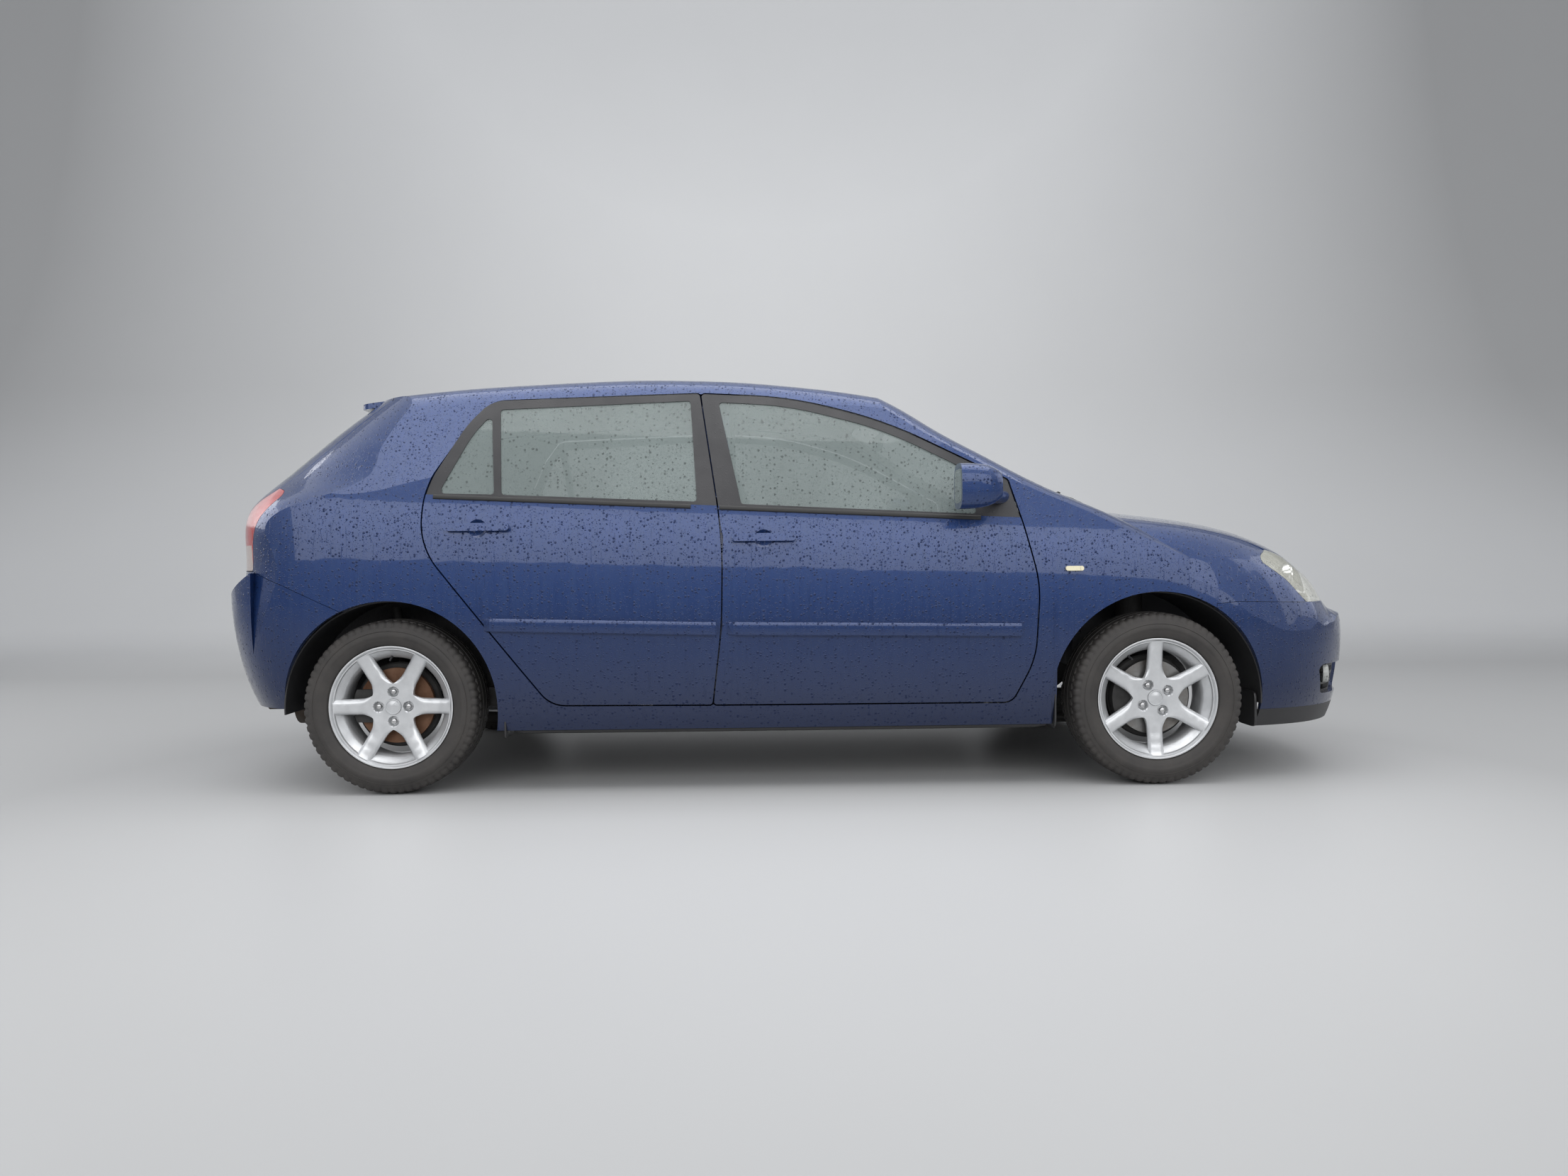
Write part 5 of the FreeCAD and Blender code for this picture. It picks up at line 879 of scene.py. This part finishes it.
def padded_block(quad, y0, y1, crown, radius, bolster, across, along_seams, cuts):
    """Crowned cushion over a profile: rear low, front low, front top, rear top."""
    low_rear, low_front, top_front, top_rear = (
        Vector((x / PER_METRE, 0, z / PER_METRE)) for x, z in quad)
    middle = (y0 + y1) / 2 / PER_METRE
    half_u = ((low_front - low_rear).length + (top_front - top_rear).length) / 4
    half_v = (y1 - y0) / 2 / PER_METRE
    half_w = ((top_rear - low_rear).length + (top_front - low_front).length) / 4
    us = spread(cuts, along_seams)
    vs = spread(cuts, across)
    ws = spread(8, ())
    through = ((top_rear - low_rear) + (top_front - low_front)).normalized()
    along = ((low_front - low_rear) + (top_front - top_rear)).normalized()

    def rise_at(u, v):
        rise = crown * (1 - u * u) * (1 - v * v)
        if bolster:
            side = max(0.0, (abs(v) - BOLSTER_START) / (1 - BOLSTER_START))
            rise += bolster * math.sin(math.pi * min(1.0, side * 1.05))
            rise -= bolster * 0.4 * (1 - abs(v))
        for seam in across:
            rise -= SEAM_ACROSS_DEPTH * math.exp(-((v - seam) / SEAM_WIDTH) ** 2) * (1 - u ** 8)
        for seam in along_seams:
            if abs(v) < BOLSTER_SIDE or not bolster:
                rise -= SEAM_ALONG_DEPTH * math.exp(-((u - seam) / SEAM_WIDTH) ** 2) * (1 - v ** 8)
        return rise

    def place(u, v, w):
        q = rounded_point((u, v, w), (half_u, half_v, half_w), min(radius, half_w * 0.9))
        a = q.x / half_u
        b = q.z / half_w
        point = (low_rear * (1 - a) * (1 - b) + low_front * (1 + a) * (1 - b)
                 + top_front * (1 + a) * (1 + b) + top_rear * (1 - a) * (1 + b)) / 4
        point.y = middle + q.y
        if w > FACE:
            point += through * rise_at(u, v)
        elif abs(v) > FACE:
            point.y += math.copysign(crown / 2, v) * (1 - u * u) * (1 - w * w)
        elif abs(u) > FACE:
            point += along * math.copysign(crown / 2, u) * (1 - v * v) * (1 - w * w)
        return point

    verts = []
    faces = []
    for fixed, firsts, seconds in ((2, us, vs), (0, vs, ws), (1, us, ws)):
        for end in (-1, 1):
            start = len(verts)
            for first in firsts:
                for second in seconds:
                    p = [first, second]
                    p.insert(fixed, end)
                    verts.append(place(*p))
            faces += grid_faces(len(firsts), len(seconds), start=start)
    piping = [tube([place(u, v, 1) + through * PIPING_LIFT for u in us[2:-2]], PIPING_RADIUS, 6)
              for v in across]
    return verts, faces, piping


def make_cushion(name, quad, y0, y1, replaced=(), crown=0.012, radius=0.035, bolster=0.0,
                 across=(), along=(), cuts=22):
    """Cushion whose middle, between the outer seams, has a fabric of its own."""
    verts, faces, piping = padded_block(quad, y0, y1, crown, radius, bolster, across, along, cuts)
    obj = mesh_object(name, verts, faces, "seat_fabric", 60)
    obj.data.materials.append(MATERIALS["seat_insert"])
    middle = (y0 + y1) / 2 / PER_METRE
    reach = -min(across, default=0) * (y1 - y0) / 2 / PER_METRE
    for face in obj.data.polygons:
        if abs(face.center.y - middle) < reach and face.normal.z + face.normal.x > 0.5:
            face.material_index = 1
    finish_piece(obj, "car_body", replaced)
    if piping:
        add_piece(name + "_piping", piping, "rubber_seal", "car_body")


FRONT_CUSHION = ((-172, 428), (366, 446), (374, 560), (-132, 534))
FRONT_BACK = ((-166, 430), (-372, 1104), (-258, 1112), (-66, 552))
FRONT_HEAD = ((-356, 1154), (-356, 1286), (-294, 1286), (-274, 1154))
REAR_CUSHION = ((-952, 430), (-516, 420), (-510, 540), (-930, 532))
REAR_BACK = ((-958, 470), (-1176, 1010), (-1096, 1030), (-884, 552))
REAR_HEAD = ((-1172, 1022), (-1180, 1100), (-1130, 1104), (-1100, 1026))
SEAT_INNER, SEAT_MIDDLE, SEAT_OUTER = 124, 370, 616
BACK_INSET = 14
HEAD_INSET = 120
POST_SHIFT = 45
POST_FOOT, POST_TOP = (-0.306, 1.085), (-0.316, 1.175)


def make_seats():
    for side, sign in SIDES:
        y0, y1 = sorted((sign * SEAT_INNER, sign * SEAT_OUTER))
        key = "front_%s_" % side
        make_cushion(key + "seat_cushion", FRONT_CUSHION, y0, y1,
                     ("front_seats",) if sign < 0 else (), bolster=0.016,
                     across=(-0.56, 0.56), along=(0.1,), radius=0.04)
        make_cushion(key + "seat_back", FRONT_BACK, y0 + BACK_INSET, y1 - BACK_INSET,
                     bolster=0.018, across=(-0.56, 0.56), along=(-0.2, 0.45), radius=0.04)
        make_cushion(key + "headrest", FRONT_HEAD, y0 + HEAD_INSET, y1 - HEAD_INSET,
                     radius=0.028, cuts=14)
        posts = []
        for shift in (-POST_SHIFT, POST_SHIFT):
            y = (sign * SEAT_MIDDLE + shift) / PER_METRE
            posts.append(tube([Vector((x, y, z)) for x, z in (POST_FOOT, POST_TOP)], 0.006))
        add_piece(key + "headrest_posts", posts, "plated_steel", "car_body")
    make_cushion("rear_seat_cushion", REAR_CUSHION, -640, 640, ("rear_seat",), crown=0.01,
                 across=(-0.3, 0.3), along=(0.2,), cuts=30)
    for name, y0, y1 in (("right", -630, -6), ("left", 6, 630)):
        make_cushion("rear_%s_seat_back" % name, REAR_BACK, y0, y1,
                     across=(-0.6, 0.6), along=(-0.1, 0.5))
    for name, y in (("right", -330), ("middle", 0), ("left", 330)):
        make_cushion("rear_%s_headrest" % name, REAR_HEAD, y - 110, y + 110,
                     crown=0.008, radius=0.022, cuts=12)


make_seats()

# Lamps

BOWLS = ((0.505, 0.706, 0.04), (0.606, 0.716, 0.036))
BOWL_SINK = 0.052
BOWL_DEPTH = 0.04
BOWL_WALL = 0.004
BOWL_ROWS = 10
BOWL_SIDES = 36
BOWL_RIM = 0.006
AHEAD_OF_CAR = 3.0
BEHIND_CAR = -3.0


def bowl(centre, axis, radius):
    """Reflector dish that opens along axis, with a rolled rim."""
    axis = axis.normalized()
    side = axis.cross(Z_AXIS).normalized()
    up = side.cross(axis)
    steps = [k / (BOWL_ROWS - 1) for k in range(BOWL_ROWS)]
    dish = [(radius * max(0.001, t), BOWL_DEPTH * (1 - t * t)) for t in steps]
    rim = [(radius * 1.05, 0.0), (radius * 1.05, BOWL_RIM)]
    shell = [(r * 1.03, back + BOWL_WALL) for r, back in dish[::-1]]
    rings = dish + rim + shell
    verts = []
    for r, back in rings:
        verts += ring(centre - axis * back, side, up, r, BOWL_SIDES)
    return verts, grid_faces(len(rings), BOWL_SIDES, close_rows=True, close_columns=True)


def make_lamps():
    tree = tree_of("front_lamps")
    for side, sign in SIDES:
        dishes = []
        bulbs = []
        for y, z, radius in BOWLS:
            hit, _ = cast(tree, (AHEAD_OF_CAR, sign * y, z), -X_AXIS)
            centre = hit - X_AXIS * BOWL_SINK
            dishes.append(bowl(centre, Vector((1, sign * 0.12, 0.02)), radius))
            bulbs.append(tube([centre - X_AXIS * back for back in (0.036, 0.014, 0.008)],
                              [0.008, 0.008, 0.003], 14))
        key = "front_%s_lamp_" % side
        add_piece(key + "bowls", dishes, "reflector", "car_body")
        add_piece(key + "bulbs", bulbs, "amber", "car_body")


make_lamps()

# Mirrors' faces, wipers, rear plate and small fittings

MIRROR_X, MIRROR_Y, MIRROR_Z = 0.4965, 0.915, 1.017
MIRROR_HALF = (0.0025, 0.062, 0.056)

for side, sign in SIDES:
    face = rounded_box((MIRROR_X, sign * MIRROR_Y, MIRROR_Z), MIRROR_HALF, power=6.0, cuts=8)
    add_piece("front_%s_mirror_face" % side, [face], "mirror", "front_%s_door" % side,
              sharp=50)

RUBBER_SECTION = [(-0.002, -0.0015), (-0.002, 0.0015), (0.006, 0.003), (0.007, -0.003)]
SPINE_SECTION = [(-0.002, -0.006), (-0.002, 0.006), (0.003, 0.005), (0.004, 0), (0.003, -0.005)]
RUBBER_LIFT = 0.003
SPINE_LIFT = 0.011
ARM_END_LIFT = 0.02
ARM_BEND_LIFT = 0.022
FRONT_ARM_LIFT = 0.012
REAR_ARM_LIFT = 0.03
DOWN_SCREEN = (-0.6, 0, -1)
INTO_TAILGATE = (1, 0, -0.2)
# Start and end of each blade and the pivot of its arm, out in the air before the pane
FRONT_ROUTES = (((1.55, 0.58, 2.0), (1.6, -0.02, 2.0), (1.652, 0.1, 2.0)),
                ((1.6, 0.02, 2.0), (1.52, -0.56, 2.0), (1.655, -0.42, 2.0)))
REAR_ROUTE = ((-3.0, 0.02, 1.35), (-3.0, 0.4, 1.345), (-3.0, 0.0, 1.298))


def wiper_parts(pane, direction, start, end, pivot, lift):
    """Arm and blade over a pane: the blade follows the glass between two places."""
    tree = tree_of(pane)
    points, outs = run_over(tree, start, end, direction, 25)
    rubber = sweep([p + n * RUBBER_LIFT for p, n in zip(points, outs)], outs, RUBBER_SECTION)
    spine = sweep([p + n * SPINE_LIFT for p, n in zip(points, outs)], outs, SPINE_SECTION)
    middle = points[len(points) // 2]
    normal = outs[len(outs) // 2]
    foot, out = cast(tree, pivot, direction)
    root = foot + out * lift
    elbow = root.lerp(middle, 0.25) + normal * (lift * 0.9)
    bend = root.lerp(middle, 0.7) + normal * ARM_BEND_LIFT
    arm = tube([root, elbow, bend, middle + normal * ARM_END_LIFT],
               [0.0095, 0.0085, 0.006, 0.0045], 10)
    knob = tube([foot + out * 0.001, root + out * 0.004, root + out * 0.01],
                [0.014, 0.015, 0.009], 20)
    return [rubber, spine, arm, knob]


def make_wipers():
    front = []
    for route in FRONT_ROUTES:
        front += wiper_parts("windscreen", DOWN_SCREEN, *route, FRONT_ARM_LIFT)
    rear = wiper_parts("tailgate_glass", INTO_TAILGATE, *REAR_ROUTE, REAR_ARM_LIFT)
    add_piece("front_wipers", front, "black_plastic")
    add_piece("rear_wiper", rear, "black_plastic", "tailgate")


make_wipers()

PLATE_HEIGHT = 0.86
PLATE_HALF_WIDE = 0.255
PLATE_HALF_TALL = 0.052
PLATE_THICK = 0.002
SURROUND_RADIUS = 0.0028
SURROUND_LIFT = 0.0005


def make_rear_plate():
    """Blank number plate bent over the tailgate."""
    tree = tree_of("tailgate_panel")
    rows = 9
    columns = 25
    front = []
    for i in range(rows):
        for j in range(columns):
            y = -PLATE_HALF_WIDE + 2 * PLATE_HALF_WIDE * j / (columns - 1)
            z = PLATE_HEIGHT - PLATE_HALF_TALL + 2 * PLATE_HALF_TALL * i / (rows - 1)
            hit, _ = cast(tree, (BEHIND_CAR, y, PLATE_HEIGHT), X_AXIS)
            front.append(Vector((hit.x - PLATE_THICK, y, z)))
    add_piece("rear_blank_plate", [slab(front, rows, columns, X_AXIS * PLATE_THICK)],
              "plate_white", "tailgate", sharp=30)
    edge = grid_edge(rows, columns)
    line = [front[k] - X_AXIS * SURROUND_LIFT for k in edge + edge[:1]]
    add_piece("rear_blank_plate_surround", [tube(line, SURROUND_RADIUS, 6, ends=False)],
              "black_plastic", "tailgate")


make_rear_plate()

# Place along the car, foot and half height of each mud flap
MUD_FLAPS = ((0.842, 0.196, 0.11), (-1.022, 0.186, 0.045))
SILL_RUN = ((0.82, 0.77), (0.78, 0.78), (0.3, 0.786), (-0.3, 0.786), (-0.96, 0.78),
            (-1.0, 0.77))
SILL_HEIGHT = 0.207
FOG_PLACE = (0.655, 0.36)
FLAP_OUT = 0.76
FLAP_HALF = (0.004, 0.062)
DAM_PLACE = (1.553, 0.705, 0.248)
DAM_HALF = (0.006, 0.072, 0.062)
CABIN_MIRROR = ((0.335, 0, 1.262), (0.012, 0.115, 0.03))
CABIN_MIRROR_STEM = ((0.34, 0, 1.285), (0.352, 0, 1.318))
WHEEL_BOSS = ((0.505, 0.37, 0.885), (0.03, 0.075, 0.062))
WHEEL_BOSS_AXES = (Vector((0.906, 0, 0.423)), Y_AXIS, Vector((-0.423, 0, 0.906)))


def make_fittings():
    bumper = tree_of("front_bumper", "lower_grille", "front_lip")
    for side, sign in SIDES:
        y, z = FOG_PLACE
        hit, _ = cast(bumper, (AHEAD_OF_CAR, sign * y, z), -X_AXIS)
        axis = Vector((1, sign * 0.35, 0)).normalized()
        lens = tube([hit + axis * out for out in (-0.004, 0.01, 0.015, 0.017)],
                    [0.034, 0.034, 0.028, 0.01], 32)
        flaps = [rounded_box((x, sign * FLAP_OUT, low + tall), (*FLAP_HALF, tall), power=7.0)
                 for x, low, tall in MUD_FLAPS]
        x, y, z = DAM_PLACE
        dam = rounded_box((x, sign * y, z), DAM_HALF, power=7.0)
        sill = tube([Vector((x, sign * y, SILL_HEIGHT)) for x, y in SILL_RUN],
                    [0.006, 0.01, 0.01, 0.01, 0.01, 0.006])
        add_piece("front_%s_fog_lens" % side, [lens], "lamp_cover", "car_body")
        add_piece("%s_mud_flaps" % side, flaps, "black_plastic")
        add_piece("front_%s_air_flap" % side, [dam], "black_plastic")
        add_piece("%s_sill_edge" % side, [sill], "black_plastic")
    mirror = [rounded_box(*CABIN_MIRROR, cuts=8),
              tube([Vector(place) for place in CABIN_MIRROR_STEM], 0.007)]
    add_piece("cabin_mirror", mirror, "cabin_plastic")
    boss = rounded_box(*WHEEL_BOSS, WHEEL_BOSS_AXES, 3.0, 8)
    add_piece("steering_boss", [boss], "cabin_plastic")


make_fittings()

# Door cards

CARD_RUNS = {"front": (-0.15, 0.56), "rear": (-0.96, -0.4)}
INSIDE_CABIN = 0.3
FIELD_LOW = 0.72
FIELD_TALL = 0.15
FIELD_THICK = 0.01
FIELD_SWELL = 0.009
FIELD_LIFT = 0.002
FIELD_INSETS = (0.05, 0.07)
REST_HEIGHT = 0.68
REST_HALF = (0.026, 0.022)
SPEAKER_HEIGHT = 0.5
SPEAKER_BACK = 0.16
# Places behind the card's front end, out from its face, and up, along the pull
PULL_ROUTE = ((0.16, 0.006, 0.8), (0.15, 0.026, 0.805), (0.09, 0.026, 0.808), (0.08, 0.006, 0.808))
SPEAKER_RINGS = (0.07, 0.056, 0.042, 0.028, 0.014)


def make_door_card(end, side, sign):
    """Fabric field, armrest, pull and speaker on the inner face of a door."""
    x0, x1 = CARD_RUNS[end]
    body = "%s_%s_door" % (end, side)
    tree = tree_of(body)

    def inner(x, z, lift=0.0):
        hit, _ = cast(tree, (x, sign * INSIDE_CABIN, z), (0, sign, 0))
        return hit and hit - Y_AXIS * (sign * lift)

    rows = 7
    columns = 15
    rear, ahead = FIELD_INSETS
    field = []
    for i in range(rows):
        for j in range(columns):
            u = 2 * i / (rows - 1) - 1
            v = 2 * j / (columns - 1) - 1
            field.append(inner(x0 + rear + (x1 - x0 - rear - ahead) * j / (columns - 1),
                               FIELD_LOW + FIELD_TALL * i / (rows - 1),
                               FIELD_LIFT + FIELD_SWELL * (1 - u ** 4) * (1 - v ** 6)))
    add_piece(body + "_fabric_field",
              [slab(field, rows, columns, Y_AXIS * (sign * FIELD_THICK))],
              "seat_insert", body, sharp=60)
    y = inner((x0 + x1) / 2, REST_HEIGHT).y
    rest = rounded_box(((x0 + x1) / 2 - 0.03, y - sign * REST_HALF[1], REST_HEIGHT),
                       ((x1 - x0) / 2 - 0.1, *REST_HALF), power=4.0, cuts=10)
    pull = tube([Vector((x1 - back, y - sign * out, z)) for back, out, z in PULL_ROUTE], 0.006)
    add_piece(body + "_armrest", [rest], "cabin_plastic", body)
    add_piece(body + "_inner_pull", [pull], "plated_steel", body)
    middle = inner(x1 - SPEAKER_BACK, SPEAKER_HEIGHT)
    if middle:
        rings = []
        for k, radius in enumerate(SPEAKER_RINGS):
            centre = middle - Y_AXIS * (sign * (0.003 + 0.001 * k))
            line = ring(centre, X_AXIS, Z_AXIS, radius, 40)
            rings.append(tube(line + line[:1], 0.0028, 6, ends=False))
        add_piece(body + "_speaker_grille", rings, "black_plastic", body)


for side, sign in SIDES:
    for end in ("front", "rear"):
        make_door_card(end, side, sign)

# Floor, backdrop and light

STAGE_HALF = 14.0
STAGE_FRONT = -14.0
STAGE_BACK = 9.0
STAGE_BEND = 3.0
STAGE_TALL = 12.0
BEND_STEPS = 12


def stage_material():
    """Pale paper with painted light: floor painted a little darker away from the car, wall painted
    lightest high in the middle.
    """
    s = Shader("studio_grey")
    x, y, z = s.split()
    # Painted light falloff: the floor darkens away from the car
    along = s.math("POWER", x, 2.0)
    near = s.math("POWER", s.plus(y, 1.0), 2.0)
    floor = s.math("MAXIMUM", s.plus(s.times(s.plus(along, near), -0.022), 0.5), 0.34)
    # Painted light: the backdrop lightens upwards and towards the middle
    slope = s.plus(s.times(along, -0.0013), 0.07)
    wall = s.math("MINIMUM", s.math("MAXIMUM", s.plus(s.times(z, slope), 0.58), 0.45), 0.92)
    back = s.ramp(s.times(y, 0.1), ((0.35, 0.0), (0.7, 1.0)))
    value = s.plus(s.times(wall, back), s.times(floor, s.math("SUBTRACT", 1.0, back)))
    value = s.times(value, s.ramp(s.noise(1.2, 2.0), ((0.2, 0.985), (0.8, 1.0))))
    tone = s.node("CombineColor", Red=s.times(value, 0.995), Green=value, Blue=value)
    s.set(Base_Color=tone.outputs[0], Roughness=0.45)


def make_stage():
    """Floor that curves up into a backdrop behind the car."""
    start = STAGE_BACK - STAGE_BEND
    profile = [(STAGE_FRONT, 0.0), (start, 0.0)]
    for i in range(1, BEND_STEPS + 1):
        angle = math.pi / 2 * i / BEND_STEPS
        profile.append((start + STAGE_BEND * math.sin(angle), STAGE_BEND * (1 - math.cos(angle))))
    profile.append((STAGE_BACK, STAGE_TALL))
    verts = [(x, y, z) for y, z in profile for x in (-STAGE_HALF, STAGE_HALF)]
    data = bpy.data.meshes.new("studio")
    data.from_pydata(verts, [], grid_faces(len(profile), 2))
    for face in data.polygons:
        face.use_smooth = True
    data.materials.append(MATERIALS["studio_grey"])
    obj = bpy.data.objects.new("studio", data)
    scene.collection.objects.link(obj)


stage_material()
make_stage()


def area_light(name, place, target, size, watts):
    data = bpy.data.lights.new(name, "AREA")
    data.shape = "RECTANGLE"
    data.size, data.size_y = size
    data.energy = watts
    obj = bpy.data.objects.new(name, data)
    scene.collection.objects.link(obj)
    obj.location = place
    obj.rotation_euler = (Vector(target) - Vector(place)).to_track_quat("-Z", "Y").to_euler()


area_light("top_softbox", (0.0, -1.0, 5.2), (0, 0, 0.4), (7.0, 4.5), 210)
area_light("front_softbox", (0.0, -7.5, 3.3), (0, 0, 0.8), (15.0, 3.4), 300)
area_light("side_softbox", (6.5, -1.0, 3.0), (0, 0, 0.7), (4.0, 3.0), 42)
area_light("tail_softbox", (-6.5, 1.0, 3.0), (0, 0, 0.7), (4.0, 3.0), 75)

SKY_TINT = (0.97, 0.99, 1.03)
SKY_STOPS = ((0.04, 0.22), (0.4, 0.88))


def make_world():
    """Sky that grows lighter from the horizon up."""
    world = bpy.data.worlds.new("studio")
    scene.world = world
    world.use_nodes = True
    tree = world.node_tree
    background = tree.nodes["Background"]
    background.inputs["Strength"].default_value = 1.0
    height = tree.nodes.new("ShaderNodeSeparateXYZ")
    sky = tree.nodes.new("ShaderNodeValToRGB")
    for element, (position, value) in zip(sky.color_ramp.elements, SKY_STOPS):
        element.position = position
        element.color = (*(value * share for share in SKY_TINT), 1)
    direction = tree.nodes.new("ShaderNodeTexCoord").outputs["Generated"]
    tree.links.new(direction, height.inputs[0])
    tree.links.new(height.outputs["Z"], sky.inputs["Fac"])
    tree.links.new(sky.outputs["Color"], background.inputs["Color"])


make_world()
